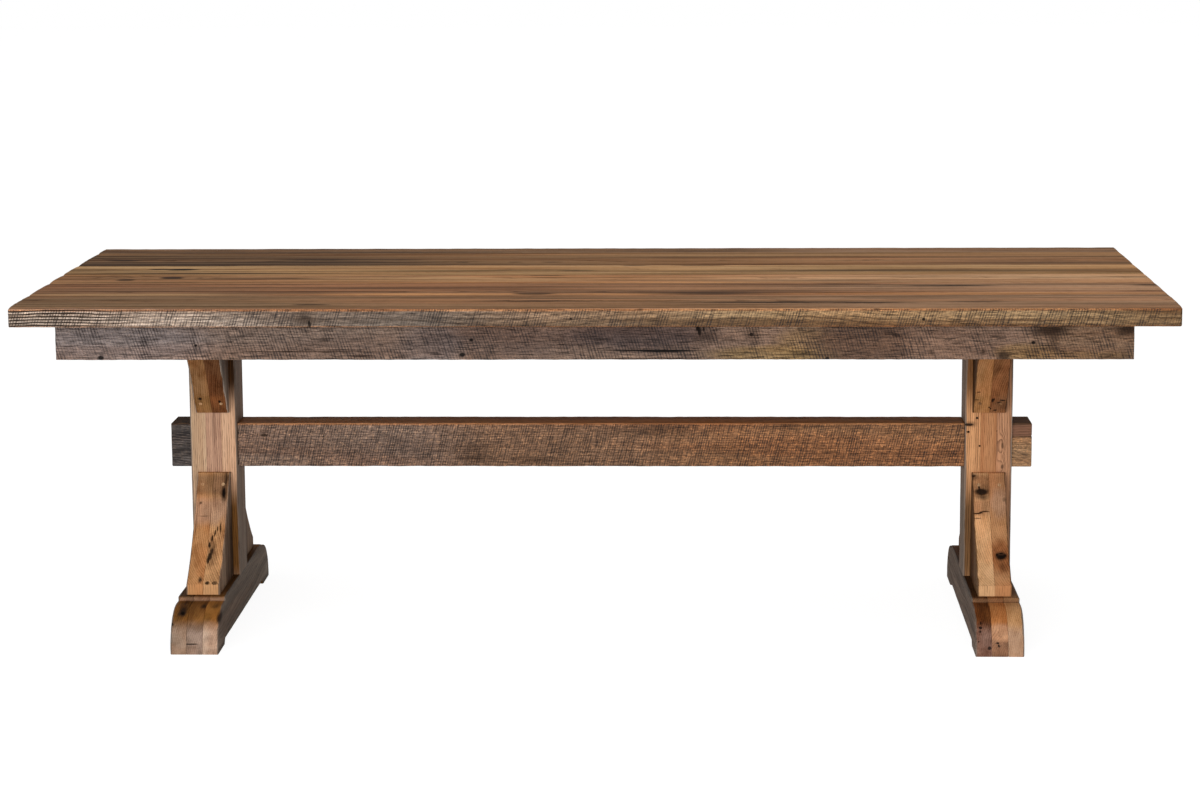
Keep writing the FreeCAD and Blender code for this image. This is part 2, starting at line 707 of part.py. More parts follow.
def make_beam():
    """The beam, shouldered against both posts, with a tenon and a bolt hole at each end."""
    body = new_body("stretcher_beam")
    section = new_sketch(body, "YZ_Plane")
    draw_box(section, "-beam_thickness / 2", "beam_rise", "beam_thickness / 2", "beam_rise + beam_height")
    pad(body, section, BEAM_SHOULDERS, "Both")
    ease(body, "arris", "Chamfer", lambda edge: spans(edge, "X") > 1)
    tenon = new_sketch(body, "YZ_Plane")
    draw_box(tenon, "-beam_tenon_width / 2", f"{BEAM_MIDDLE} - beam_tenon_height / 2",
             "beam_tenon_width / 2", f"{BEAM_MIDDLE} + beam_tenon_height / 2")
    pad(body, tenon, f"{BEAM_SHOULDERS} + 2 * (2 * ply_thickness - fit_clearance)", "Both")
    for side in (-1, 1):
        bore(body, "bolt_diameter", "bolt_length", bolt_end(side), "0", BOLT_HEIGHT, Vector(0, side, 0), "90")
    return body


def bolt_end(side):
    """Where the inner end of a bolt lies along X."""
    return f"{side} * ({TRESTLE_X} + {TRESTLE_WIDTH} / 2 + washer_thickness - bolt_length)"


def make_bolts():
    """A hexagon lag bolt through each outer ply into the beam's tenon, with its washer."""
    bolts = []
    washers = []
    for side in (-1, 1):
        turn = Vector(0, side, 0)
        face = f"{side} * ({TRESTLE_X} + {TRESTLE_WIDTH} / 2)"
        shank = new_cylinder("bolt_diameter", "bolt_length", bolt_end(side), "0", BOLT_HEIGHT, turn, "90")
        head = new_hexagon("bolt_head_across", "bolt_head_height", f"{face} + {side} * washer_thickness", "0",
                           BOLT_HEIGHT, turn, "90")
        bolts.append(join("Fuse", head, shank))
        disc = new_cylinder("washer_diameter", "washer_thickness", face, "0", BOLT_HEIGHT, turn, "90")
        hole = new_cylinder("bolt_diameter", "washer_thickness", face, "0", BOLT_HEIGHT, turn, "90")
        washers.append(join("Cut", disc, hole))
    return [new_group("stretcher_bolts", bolts), new_group("stretcher_washers", washers)]


def make_stub(label, side, low, height, dowel_heights):
    """A block on the outer face of a post, drawn for the left trestle with the post at X 0. It is
    hollowed over the bolt heads where it covers them."""
    body = new_body(label)
    section = new_sketch(body, "YZ_Plane")
    draw_box(section, "-beam_thickness / 2", low, "beam_thickness / 2", f"{low} + {height}")
    pad(body, section, "stub_length", "Against")
    ease(body, "arris", "Chamfer", lambda edge: touches(edge, "X", "-stub_length")
         or spans(edge, "X") > 1 and (touches(edge, "Z", "beam_rise")
                                      or touches(edge, "Z", "beam_rise + beam_height")))
    if number(low) < number(BOLT_HEIGHT) < number(f"{low} + {height}"):
        recess = new_sketch(body, "YZ_Plane")
        draw_circle(recess, "0", BOLT_HEIGHT, RECESS_DIAMETER)
        pocket(body, recess, RECESS_DEPTH, "Against")
    for way in (-1, 1):
        for dowel_height in dowel_heights:
            peg_hole(body, "dowel_diameter", "dowel_length / 2", "-dowel_length / 2",
                     f"{way} * dowel_spacing / 2", dowel_height, Vector(0, 1, 0), "90")
    stand(body, side, f"-{TRESTLE_WIDTH} / 2")
    return body


def make_dowels():
    """Dowels that hold the outer blocks to the posts."""
    solids = []
    for side in (-1, 1):
        x = f"{side} * ({TRESTLE_X} + {TRESTLE_WIDTH} / 2 - dowel_length / 2)"
        for way in (-1, 1):
            for height in DOWEL_HEIGHTS:
                solids.append(new_peg("dowel_diameter", "dowel_length", x, f"{way} * dowel_spacing / 2",
                                      height, Vector(0, side, 0), "90"))
    return new_group("stub_dowels", solids)


def make_header_screws():
    """Screws up through the headers' slots into the planks, their heads on the headers' undersides."""
    solids = []
    for sign in SIDES.values():
        for index in range(1, PLANKS):
            x = f"{sign} * {TRESTLE_X} + {screw_x(index)}"
            y = f"{plank_front(index)} + plank_{index} / 2"
            shank = new_peg("screw_diameter", "screw_length", x, y, HEADER_UNDERSIDE)
            head = new_hexagon("screw_head_across", "screw_head_height", x, y,
                               f"{HEADER_UNDERSIDE} - screw_head_height")
            solids.append(join("Fuse", head, shank))
    return new_group("header_screws", solids)


# ------------------------------------------------------------------------------------- assembly

parts = [make_plank(index) for index in range(1, PLANKS + 1)]
parts.append(make_tongues())
parts.append(make_long_apron("apron_front", None))
parts.append(make_long_apron("apron_back", Vector(0, 0, 1)))
parts.append(make_end_apron("apron_end_left", -1))
parts.append(make_end_apron("apron_end_right", 1))
parts.append(make_corner_blocks())
parts.append(make_glue_blocks())
for side in SIDES:
    parts.append(make_header(side))
    for ply in PLIES:
        parts.append(make_foot_ply(side, ply))
        parts.append(make_post_ply(side, ply))
    for place in CORBEL_PLACES:
        for hand in (-1, 1):
            parts.append(make_corbel_ply(side, place, hand))
parts.append(make_beam())
parts.append(make_stub("stub_block_left", "left", "beam_rise", "beam_height", DOWEL_HEIGHTS))
parts.append(make_stub("stub_block_lower_right", "right", "beam_rise", STUB_LOWER_HEIGHT, DOWEL_HEIGHTS[:1]))
parts.append(make_stub("stub_block_upper_right", "right", f"(beam_rise + {STUB_LOWER_HEIGHT})",
                       "stub_upper_height", DOWEL_HEIGHTS[1:]))
parts.append(make_dowels())
parts.append(make_header_screws())
parts.append(make_pegs())
parts.extend(make_bolts())
doc.recompute()

# ---------------------------------------------------------------------------- checks and export

for thing in doc.Objects:
    if "Invalid" in thing.State or "Error" in thing.State:
        raise RuntimeError(f"{thing.Name} ({thing.Label}) did not compute: {thing.State}")
for part in parts:
    if part.Shape.isNull() or not part.Shape.isValid() or not part.Shape.Solids:
        raise RuntimeError(f"{part.Label} has no valid solid")

os.makedirs("parts", exist_ok=True)
for part in parts:
    part.Shape.exportStep(f"parts/{part.Label}.step")
print(f"{len(parts)} nodes, {sum(len(part.Shape.Solids) for part in parts)} solids")
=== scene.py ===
import math

import bmesh
import bpy
from mathutils import Matrix, Vector, noise


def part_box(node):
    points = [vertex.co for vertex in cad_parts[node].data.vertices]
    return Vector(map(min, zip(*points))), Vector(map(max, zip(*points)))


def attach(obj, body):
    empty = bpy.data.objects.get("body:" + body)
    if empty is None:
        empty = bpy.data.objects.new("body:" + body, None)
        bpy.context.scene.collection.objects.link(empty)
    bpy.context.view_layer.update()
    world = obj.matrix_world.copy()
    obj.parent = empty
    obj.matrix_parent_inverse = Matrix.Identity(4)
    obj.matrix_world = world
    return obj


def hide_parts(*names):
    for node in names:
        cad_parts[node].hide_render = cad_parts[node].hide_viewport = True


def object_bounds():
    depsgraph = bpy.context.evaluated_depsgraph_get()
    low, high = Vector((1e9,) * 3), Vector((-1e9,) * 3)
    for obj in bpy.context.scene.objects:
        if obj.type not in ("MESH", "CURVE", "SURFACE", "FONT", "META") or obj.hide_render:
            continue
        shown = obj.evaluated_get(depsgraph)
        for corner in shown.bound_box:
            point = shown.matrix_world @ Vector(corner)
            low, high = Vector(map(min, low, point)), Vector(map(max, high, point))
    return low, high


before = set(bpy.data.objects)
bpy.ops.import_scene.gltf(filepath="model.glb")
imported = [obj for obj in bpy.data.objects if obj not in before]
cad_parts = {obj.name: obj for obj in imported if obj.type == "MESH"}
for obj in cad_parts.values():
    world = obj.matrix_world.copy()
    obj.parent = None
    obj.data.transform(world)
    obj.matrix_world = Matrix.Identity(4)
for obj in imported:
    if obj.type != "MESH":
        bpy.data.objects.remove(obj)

cad_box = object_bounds()

# ---------- the top
# Six planks of reclaimed oak, jointed edge to edge. The faces are planed and have a satin finish that
# keeps the old holes and stains; the front edge was left as the saw cut it, with one worn arris.

UMBER = (48, 34, 25)
INK = (46, 42, 42)
SOOT = (20, 15, 12)
VARNISH = 0.07


def tint(colour):
    """A colour written from 0 to 255, as light."""
    light = [((part / 255 + 0.055) / 1.055) ** 2.4 if part > 10 else part / 3295 for part in colour]
    return (*light, 1.0)


class Field:
    """What varies over a surface: a socket that can be used in sums."""

    def __init__(self, finish, socket):
        self.finish = finish
        self.socket = socket

    def output(self, name):
        return Field(self.finish, self.socket.node.outputs[name])

    def maths(self, operation, *others):
        values = dict(enumerate((self, *others)))
        return self.finish.add("Math", {"operation": operation}, values)

    def __add__(self, other):
        return self.maths("ADD", other)

    def __sub__(self, other):
        return self.maths("SUBTRACT", other)

    def __rsub__(self, other):
        return self.maths("MULTIPLY_ADD", -1.0, other)

    def __mul__(self, other):
        return self.maths("MULTIPLY", other)

    def __truediv__(self, other):
        return self.maths("DIVIDE", other)

    __radd__ = __add__
    __rmul__ = __mul__


class Finish:
    """A material whose nodes are added one by one."""

    def __init__(self, name, tree=None):
        if tree is None:
            self.material = bpy.data.materials.new(name)
            self.material.use_nodes = True
            tree = self.material.node_tree
        self.tree = tree
        tree.nodes.clear()

    def add(self, kind, settings=None, inputs=None, output=0):
        """One node: its settings first, then the values or links of its sockets."""
        node = self.tree.nodes.new("ShaderNode" + kind)
        for name, value in (settings or {}).items():
            setattr(node, name, value)
        for name, value in (inputs or {}).items():
            if isinstance(value, Field):
                self.tree.links.new(value.socket, node.inputs[name])
            else:
                node.inputs[name].default_value = value
        return Field(self, node.outputs[output]) if node.outputs else None

    def vector(self, operation, *values):
        return self.add("VectorMath", {"operation": operation}, dict(enumerate(values)))

    def mottle(self, place, cells, seed, detail=2.0, roughness=0.5):
        """Noise with so many cells to the metre along each axis."""
        spread = self.vector("MULTIPLY_ADD", place, cells, (seed, seed * 1.7, -seed))
        return self.add("TexNoise", {}, {
            "Vector": spread, "Scale": 1.0, "Detail": detail, "Roughness": roughness})

    def step(self, value, low, high):
        """From 0 to 1 while the value goes from low to high."""
        return self.add("MapRange", {"interpolation_type": "SMOOTHSTEP"}, {
            "Value": value, "From Min": low, "From Max": high})

    def spot(self, place, centre, radii, softness=0.35):
        """1 inside an ellipsoid, 0 outside it."""
        local = self.add("Mapping", {"vector_type": "TEXTURE"}, {
            "Vector": place, "Location": centre, "Scale": radii})
        distance = self.vector("LENGTH", local).output("Value")
        return 1 - self.step(distance, 1 - softness, 1 + softness)

    def blend(self, factor, under, over):
        """One colour over another."""
        settings = {"data_type": "RGBA", "clamp_factor": True}
        return self.add("Mix", settings, {0: factor, 6: under, 7: over}, output=2)

    def surface(self, colour, roughness, height, relief, metallic=0.0):
        """The shader: relief is the bump's depth in metres."""
        normal = self.add("Bump", {}, {"Height": height, "Distance": relief, "Strength": 1.0})
        shader = self.add("BsdfPrincipled", {}, {
            "Base Color": colour, "Roughness": roughness, "Normal": normal, "Metallic": metallic,
            "Specular IOR Level": 0.5 * metallic, "Coat Weight": VARNISH, "Coat Roughness": 0.4})
        self.add("OutputMaterial", {}, {"Surface": shader})
        return self.material


# Pale and dark tone of the kinds of wood that meet in old boards, how far a heart wanders, how many
# hard ribs stand to the metre, and how deep the grain is.
SAPWOOD = ((188, 150, 108), (150, 114, 76))
AMBER = ((196, 142, 94), (150, 104, 66))
WEATHERED = ((150, 136, 124), (104, 92, 82))
SLATE = ((160, 148, 145), (98, 90, 90))
WORN = ((206, 146, 98), (160, 104, 64))
WANDER = 0.05
RIBS = 160
GRAIN_RELIEF = 0.0006


def oak(name, grain, tones, seed, heart, zones=(), marks=(), sawn=None, ring=0.0045, figure=0.3,
        streak=2.2, run=0.45, ends=None):
    """Oak cut from a log: rings round a wandering heart, streaks and fibres along the grain, old marks.
    Grain is the axis that the fibres follow, heart the pith's place on the other two axes, and ends how
    far along the grain the end faces lie."""
    finish = Finish(name)
    world = finish.add("TexCoord", output="Object")
    place = world
    if grain != "X":
        x, y, z = (finish.add("SeparateXYZ", {}, {0: world}, output=part) for part in "XYZ")
        order = (y, x, z) if grain == "Y" else (z, x, y)
        place = finish.add("CombineXYZ", {}, dict(enumerate(order)))
    jitter = finish.vector("SUBTRACT", finish.mottle(place, (14, 55, 55), seed + 4, 3.0).output("Color"),
                           (0.5, 0.5, 0.5))
    ragged = finish.vector("MULTIPLY_ADD", jitter, (0.02, 0.01, 0.01), world)
    steady = finish.vector("MULTIPLY_ADD", jitter, (0.006, 0.003, 0.003), world)

    pale, dark = (tint(tone) for tone in tones)
    for (zone_pale, zone_dark), centre, radii, strength in zones:
        zone = strength * finish.spot(ragged if min(radii) > 0.008 else steady, centre, radii, 0.4)
        pale = finish.blend(zone, pale, tint(zone_pale))
        dark = finish.blend(zone, dark, tint(zone_dark))

    drift = finish.mottle(place, (1.1, 3.0, 3.0), seed, 2.0).output("Color")
    shift = (0, -WANDER / 2 - heart[0], -WANDER / 2 - heart[1])
    wander = finish.vector("MULTIPLY_ADD", drift, (0, WANDER, WANDER), shift)
    bent = finish.vector("ADD", place, wander)
    across = finish.vector("LENGTH", finish.vector("MULTIPLY", bent, (0, 1, 1))).output("Value")
    rings = across / ring + 1.4 * finish.mottle(place, (4, 30, 30), seed + 3, 1.0)
    spots = []
    for kind, centre, radii, strength in marks:
        broken = ragged if radii[0] > 0.03 and min(radii) > 0.004 else steady
        softness = 0.7 if kind == "stain" else 0.35
        spots.append((kind, finish.spot(broken, centre, radii, softness), strength))
        if kind == "knot":
            rings = rings + 2.5 * finish.spot(world, centre, tuple(3 * radius for radius in radii), 0.9)
    count = rings.maths("FLOOR")
    early = 1 - finish.step(rings - count, 0.0, 0.6)
    tone = finish.add("TexWhiteNoise", {"noise_dimensions": "1D"}, {"W": count + seed})
    fibre = finish.mottle(place, (12, 420, 420), seed + 5, 3.0, 0.7)
    streaks = finish.mottle(place, (1 / run, 40, 40), seed + 9, 4.0, 0.6)
    pores = finish.step(finish.mottle(place, (45, 1200, 1200), seed + 7, 0.0), 0.52, 0.66) * (0.3 + early)

    depth = figure * (early + tone - 1) + streak * streaks + 1.1 * fibre - 0.5 * (streak + 0.1)
    colour = finish.blend(depth, pale, dark)
    flush = finish.step(finish.mottle(place, (1.2, 17, 17), seed + 21, 2.0), 0.4, 0.65)
    colour = finish.blend(0.5 * flush, colour, finish.vector("MULTIPLY", colour, (1.14, 0.93, 0.8)))
    colour = finish.blend(0.45 * pores, colour, finish.vector("MULTIPLY", colour, (0.3, 0.26, 0.24)))
    if ends is not None:
        along = finish.add("SeparateXYZ", {}, {0: place}, output="X").maths("ABSOLUTE")
        at_end = finish.step(along, ends - 0.004, ends - 0.002)
        checked = finish.step(finish.mottle(place, (1, 420, 60), seed + 31, 2.0), 0.58, 0.66)
        end_grain = finish.blend(0.55 * early + 0.3 * tone + 0.4 * checked, pale, dark)
        colour = finish.blend(at_end, colour, finish.vector("MULTIPLY", end_grain, (0.74, 0.72, 0.7)))
    height = 0.4 * fibre - 0.6 * pores - 0.15 * early
    roughness = 0.42 + 0.14 * pores + 0.12 * fibre

    if sawn is not None:
        under = (colour, roughness, height)
        colour, roughness, height = saw_marks(finish, world, place, seed, under, **sawn)
    for kind, spot, strength in spots:
        if kind == "ribs":
            spot = spot * hard_ribs(finish, place, seed)
        elif kind == "stain":
            spot = spot * (2.4 * streaks - 0.2)
        colour = finish.blend(strength * spot, colour, tint(SOOT if kind == "hole" else UMBER))
        if kind == "hole":
            height = height - 6 * spot
    return finish.surface(colour, roughness, height, GRAIN_RELIEF)


def hard_ribs(finish, place, seed):
    """Summer wood that stands as wavy dark lines where the soft wood has worn away."""
    rise = finish.add("SeparateXYZ", {}, {0: place}, output="Z")
    wave = RIBS * math.tau * rise + 10 * finish.mottle(place, (8, 22, 22), seed + 29, 2.0)
    return finish.step(wave.maths("SINE"), -0.2, 0.55)


def saw_marks(finish, world, place, seed, under, turn, lines, kerf_ink, grain_ink, patchy, glow,
              span=None):
    """A face left from the saw. Its kerf lines lean and come in bands, they darken the open grain that
    they cross, short checks run along the grain, and raised fibres stand between them, painted paler as
    glints of highlight. Turn stands the kerf upright, lines is how many there are to the metre, patchy
    how far they and the grain come and go, glow how pale the painted glints are, and span an axis and
    where on it the marks begin."""
    colour, roughness, height = under
    turned = finish.add("Mapping", {"vector_type": "POINT"}, {"Vector": world, "Rotation": turn})
    along = finish.vector("DOT_PRODUCT", turned, (1, 1, 0)).output("Value")
    beat = (math.tau * lines * along + 9 * finish.mottle(turned, (7, 7, 7), seed + 19)).maths("SINE")
    kerf = finish.mottle(turned, (1.6 * lines, 1.6 * lines, lines / 8), seed + 11, 2.0, 0.6)
    bands = finish.step(kerf + 0.14 * beat, 0.49, 0.64)
    patches = finish.step(finish.mottle(turned, (19, 19, 11), seed + 13, 2.0), 0.4, 0.6)
    grain = finish.step(finish.mottle(place, (50, 470, 470), seed + 15, 2.0, 0.6), 0.46, 0.62)
    checks = finish.step(finish.mottle(place, (26, 330, 330), seed + 17, 1.0, 0.6), 0.61, 0.68)
    glints = finish.step(finish.mottle(turned, (240, 240, 200), seed + 23, 1.0), 0.54, 0.64)
    gathered = (1 - patchy) + patchy * patches
    crossed = grain * (0.6 + 0.4 * bands) * (0.45 + 0.55 * gathered)
    there = 1.0
    if span is not None:
        axis, start, end = span
        there = finish.step(finish.add("SeparateXYZ", {}, {0: world}, output=axis), start, end)
    bright = tuple(1 + glow * share for share in (0.5, 0.42, 0.31))
    # Painted highlight: the glints on the raised fibres.
    colour = finish.blend(there * glints, colour, finish.vector("MULTIPLY", colour, bright))
    colour = finish.blend(there * (kerf_ink * (bands * gathered)), colour, tint(INK))
    colour = finish.blend(there * (grain_ink * crossed), colour, tint(INK))
    colour = finish.blend(there * (patchy * 0.7 * checks), colour, tint(SOOT))
    height = height - there * (1.4 * bands + 1.4 * grain + 1.6 * patchy * checks - 1.0 * glints)
    return colour, roughness + 0.25 * there, height


def divide(bm, axis, spacing):
    """Cut every edge that runs along an axis into short lengths, so that wear has points to move."""
    runs = {edge: [abs(part) for part in edge.verts[0].co - edge.verts[1].co] for edge in bm.edges}
    edges = [edge for edge, run in runs.items()
             if run[axis] > 1.5 * spacing and sum(run) - run[axis] < 1e-6]
    cuts = max(round(max(runs[edge][axis] for edge in edges) / spacing) - 1, 1)
    bmesh.ops.subdivide_edges(bm, edges=edges, cuts=cuts, use_grid_fill=True)


def lies_in(edge, axis, plane):
    return all(abs(vert.co[axis] - plane) < 1e-6 for vert in edge.verts)


def extent(edge, axis):
    return abs(edge.verts[0].co[axis] - edge.verts[1].co[axis])


def ease(bm, edges, size, segments=2):
    bmesh.ops.bevel(bm, geom=edges, offset=size, offset_type="OFFSET", affect="EDGES",
                    segments=segments, profile=0.5, material=-1)


def fray(bm, low, high, depth, reach=0.004):
    """Wear the arrises of a board by up to a depth."""
    centre = (low + high) / 2
    for vert in bm.verts:
        place = vert.co.copy()
        near = [axis for axis in range(3)
                if min(place[axis] - low[axis], high[axis] - place[axis]) < reach]
        if len(near) > 1:
            amount = depth * (0.5 + 0.6 * noise.noise(place * 17) + 0.5 * noise.noise(place * 70))
            for axis in near:
                vert.co[axis] += math.copysign(max(amount, 0.0), centre[axis] - place[axis])


def saw(bm, axis, face, way, lean, depth):
    """Leave the kerf of a saw in one face of a board: way points into the wood."""
    for vert in bm.verts:
        if abs(vert.co[axis] - face) < 1e-6:
            along = vert.co[1 - axis] + lean * vert.co.z
            kerf = noise.noise(Vector((along * 95, vert.co.z * 5, 0)))
            check = noise.noise(Vector((along * 14, vert.co.z * 160, 3)))
            swell = noise.noise(vert.co * 9)
            amount = 0.5 + 0.35 * kerf + 0.3 * check + 0.2 * swell
            vert.co[axis] += way * depth * max(amount, 0)


SHARP_ANGLE = math.radians(28)


def finished(bm, node, material):
    """Turn a bmesh into a piece of the table that stands for a solid."""
    name = f"{node}_board"
    bmesh.ops.recalc_face_normals(bm, faces=bm.faces)
    mesh = bpy.data.meshes.new(name)
    bm.to_mesh(mesh)
    bm.free()
    mesh.materials.append(material)
    mesh.shade_smooth()
    mesh.set_sharp_from_angle(angle=SHARP_ANGLE)
    piece = bpy.data.objects.new(name, mesh)
    bpy.context.scene.collection.objects.link(piece)
    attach(piece, "root")
    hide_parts(node)


def box_of_wood(low, high):
    bm = bmesh.new()
    bmesh.ops.create_cube(bm, size=1)
    bmesh.ops.scale(bm, vec=high - low, verts=bm.verts)
    bmesh.ops.translate(bm, vec=(low + high) / 2, verts=bm.verts)
    return bm


TOP_LENGTH = (cad_box[1] - cad_box[0]).x
TOP_DEPTH = (cad_box[1] - cad_box[0]).y
TOP_HEIGHT = cad_box[1].z
TOP_ARRIS = 0.003
TOP_CORNER = 0.007
SEAM = 0.0005
KERF_DEPTH = 0.0011
KERF_LEAN = 0.3
TOP_FRAY = 0.0006
SAWN_GRID = (0.0026, 0.014, 0.0028)
PLANED_GRID = (0.016, 0.014, 0.008)
END_REACH = 0.02
END_BOW = 0.0046
RIGHT_BOW = 0.35 * END_BOW
END_WAVE = 0.0008
CORNER_WEAR = 0.0042
CORNER_REACH = 0.12


def on_top(kind, from_left, from_back, length, width, strength=0.8):
    """A mark or zone on the top, in millimetres, by its middle's distance from the left end and the back
    edge."""
    middle = (from_left / 1000 - TOP_LENGTH / 2, TOP_DEPTH / 2 - from_back / 1000, TOP_HEIGHT)
    reach = (0.5 if isinstance(kind, tuple) else 0.75) / 1000
    return kind, middle, (reach * length, reach * width, 0.03), strength


# Of each plank: tones, seed, the heart's place from the plank's own middle, and then the zones of other
# wood and the marks, as on_top takes them. The pale zones near the right end, 2000 to 2100 mm from the
# left, are not other wood but a painted sheen.
PLANKS = {
    1: (((146, 110, 80), (98, 71, 47)), 1.0, (0.03, -0.09), [
        (((128, 104, 78), (88, 68, 48)), 250, 960, 900, 200, 0.6),
        (((160, 126, 98), (114, 86, 64)), 2100, 940, 1100, 300, 0.6)], [
        ("knot", 630, 995, 50, 12), ("stain", 1095, 940, 130, 14), ("stain", 1600, 965, 260, 14),
        ("hole", 1600, 963, 90, 7), ("stain", 1794, 970, 100, 12), ("stain", 1929, 905, 200, 8, 0.6),
        ("stain", 2020, 960, 80, 14), ("stain", 900, 900, 500, 10, 0.35)]),
    2: (((156, 114, 82), (92, 64, 44)), 2.0, (-0.05, -0.06), [
        (SAPWOOD, 250, 832, 560, 34, 0.7), (AMBER, 850, 832, 600, 34, 0.8),
        (AMBER, 1270, 836, 340, 24, 0.8), (AMBER, 1990, 832, 900, 36, 0.85),
        (((172, 138, 108), (116, 90, 68)), 2100, 740, 900, 130, 0.6)], [
        ("stain", 550, 822, 220, 30, 0.6), ("knot", 1090, 826, 60, 22),
        ("stain", 1449, 826, 160, 24, 0.65), ("stain", 375, 720, 260, 6), ("hole", 1760, 672, 90, 7),
        ("hole", 1990, 705, 130, 9, 0.95), ("stain", 180, 770, 400, 20, 0.4),
        ("stain", 760, 740, 260, 16, 0.4), ("stain", 1300, 790, 400, 20, 0.45),
        ("stain", 2419, 700, 50, 20)]),
    3: (((176, 130, 90), (108, 76, 50)), 3.0, (0.02, -0.12), [
        (SAPWOOD, 850, 590, 600, 90, 0.5), (SAPWOOD, 1750, 565, 1400, 50, 0.35),
        (AMBER, 1220, 641, 2600, 12, 0.75), (((140, 104, 72), (88, 62, 40)), 160, 580, 500, 160, 0.6),
        (((198, 164, 130), (158, 126, 94)), 2000, 570, 1100, 160, 0.45)], [
        ("knot", 262, 553, 34, 30, 0.9), ("knot", 165, 590, 28, 26, 0.75),
        ("stain", 465, 565, 180, 18, 0.75), ("hole", 1100, 525, 60, 7, 0.8),
        ("stain", 600, 540, 300, 8, 0.4), ("stain", 1950, 610, 500, 10, 0.4)]),
    4: (((160, 124, 84), (98, 70, 42)), 4.0, (0.01, -0.05), [
        (SAPWOOD, 1220, 374, 2900, 80, 0.8), (SAPWOOD, 1300, 470, 1300, 40, 0.4),
        (((188, 152, 108), (126, 96, 64)), 350, 400, 900, 160, 0.75)], [
        ("hole", 258, 405, 50, 20, 0.95), ("hole", 205, 398, 30, 14, 0.9),
        ("stain", 300, 478, 400, 18, 0.75), ("hole", 1168, 437, 60, 9, 0.8), ("hole", 1294, 337, 40, 14),
        ("hole", 1445, 337, 70, 14), ("stain", 1834, 438, 500, 30, 0.55),
        ("stain", 2260, 440, 300, 24, 0.6), ("stain", 700, 430, 500, 12, 0.35)]),
    5: (((138, 104, 72), (90, 62, 38)), 5.0, (-0.03, -0.1), [
        (((162, 124, 86), (124, 92, 60)), 1750, 132, 1700, 60, 0.7),
        (((104, 80, 58), (56, 40, 28)), 300, 240, 1000, 240, 0.75),
        (((160, 118, 84), (120, 84, 58)), 2100, 250, 900, 160, 0.5)], [
        ("stain", 150, 322, 900, 38, 0.75), ("stain", 550, 220, 140, 18), ("stain", 720, 225, 100, 12),
        ("stain", 450, 275, 600, 12, 0.6), ("knot", 90, 235, 50, 20), ("hole", 893, 275, 20, 7),
        ("hole", 1013, 275, 20, 7), ("hole", 1100, 275, 30, 8), ("stain", 2250, 300, 360, 20, 0.6),
        ("stain", 1700, 185, 500, 10, 0.4)]),
    6: (((128, 98, 72), (78, 56, 38)), 6.0, (0.02, -0.07), [
        (((150, 118, 92), (108, 82, 60)), 2100, 50, 900, 200, 0.6)], [
        ("stain", 560, 86, 500, 12, 0.85), ("stain", 730, 72, 300, 10)]),
}

# What the saw and the weather left on the front edge, and the arrises that hands have worn.
FRONT = cad_box[0].y
TOP_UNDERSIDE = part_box("top_plank_1")[0].z
EDGE_ZONES = [
    (((236, 222, 208), (172, 154, 138)), (-1.05, FRONT, 0.756), (0.5, 0.01, 0.1), 1.0),
    (((144, 130, 118), (99, 86, 75)), (-0.36, FRONT, 0.756), (0.42, 0.01, 0.1), 1.0),
    (((178, 150, 124), (118, 96, 76)), (0.12, FRONT, 0.756), (0.36, 0.01, 0.1), 1.0),
    (((178, 146, 108), (118, 90, 62)), (0.85, FRONT, 0.756), (0.75, 0.01, 0.1), 1.0),
    (WORN, (0, FRONT, TOP_HEIGHT), (9, 0.007, 0.0044), 0.85),
    (WORN, (0, FRONT, TOP_UNDERSIDE), (9, 0.003, 0.0026), 0.6),
]
EDGE_MARKS = [
    ("ribs", (-1.2, FRONT, 0.756), (0.22, 0.012, 0.03), 1.0),
    ("ribs", (-0.97, FRONT, 0.756), (0.2, 0.012, 0.03), 0.5),
    ("stain", (-0.59, FRONT, 0.755), (0.022, 0.01, 0.015), 0.6),
    ("hole", (-0.582, FRONT, 0.744), (0.0025, 0.01, 0.007), 0.9),
    ("hole", (0.686, FRONT, 0.753), (0.003, 0.01, 0.003), 0.95),
    ("hole", (-0.04, FRONT, 0.755), (0.0018, 0.01, 0.0022), 0.9),
    ("stain", (0.103, FRONT, 0.773), (0.006, 0.01, 0.003), 0.8),
    ("stain", (0.589, FRONT, 0.773), (0.007, 0.01, 0.0025), 0.8),
]


def make_plank(index):
    node = f"top_plank_{index}"
    low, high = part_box(node)
    tones, seed, heart, *rows = PLANKS[index]
    zones, marks = ([on_top(*row) for row in kind] for kind in rows)
    outer = {1: low.y, 6: high.y}.get(index)
    bm = box_of_wood(low, high)
    if outer is not None:
        ease(bm, [edge for edge in bm.edges if lies_in(edge, 1, outer) and extent(edge, 2) > 0.01],
             TOP_CORNER, 4)
    jointed = [edge for edge in bm.edges if runs_along_seam(edge, low, high, outer)]
    exposed = [edge for edge in bm.edges if edge not in jointed and extent(edge, 2) < 1e-6]
    ease(bm, exposed, TOP_ARRIS, 3)
    ease(bm, [edge for edge in bm.edges if runs_along_seam(edge, low, high, outer)], SEAM, 1)
    for axis, spacing in enumerate(SAWN_GRID if index == 1 else PLANED_GRID):
        divide(bm, axis, spacing)
    shape_ends(bm, low, high)
    sawn = None
    if index == 1:
        saw(bm, 1, low.y, 1, KERF_LEAN, KERF_DEPTH)
        zones += EDGE_ZONES
        marks += EDGE_MARKS
        sawn = dict(turn=(0, -KERF_LEAN, 0), lines=185, kerf_ink=0.62, grain_ink=0.74, patchy=0.65,
                    glow=0.57, span=("Y", low.y + 0.006, low.y + 0.002))
    fray(bm, low, high, TOP_FRAY)
    middle = (low + high) / 2
    wood = oak(f"plank_{index}_oak", "X", tones, seed, (middle.y + heart[0], TOP_HEIGHT + heart[1]),
               zones, marks, sawn, streak=4.8, run=0.85, ends=TOP_LENGTH / 2)
    finished(bm, node, wood)


def runs_along_seam(edge, low, high, outer):
    """Whether an edge runs the length of a plank, beside its neighbour."""
    on_side = any(lies_in(edge, 1, side) and side != outer for side in (low.y, high.y))
    return on_side and extent(edge, 0) > TOP_LENGTH / 2


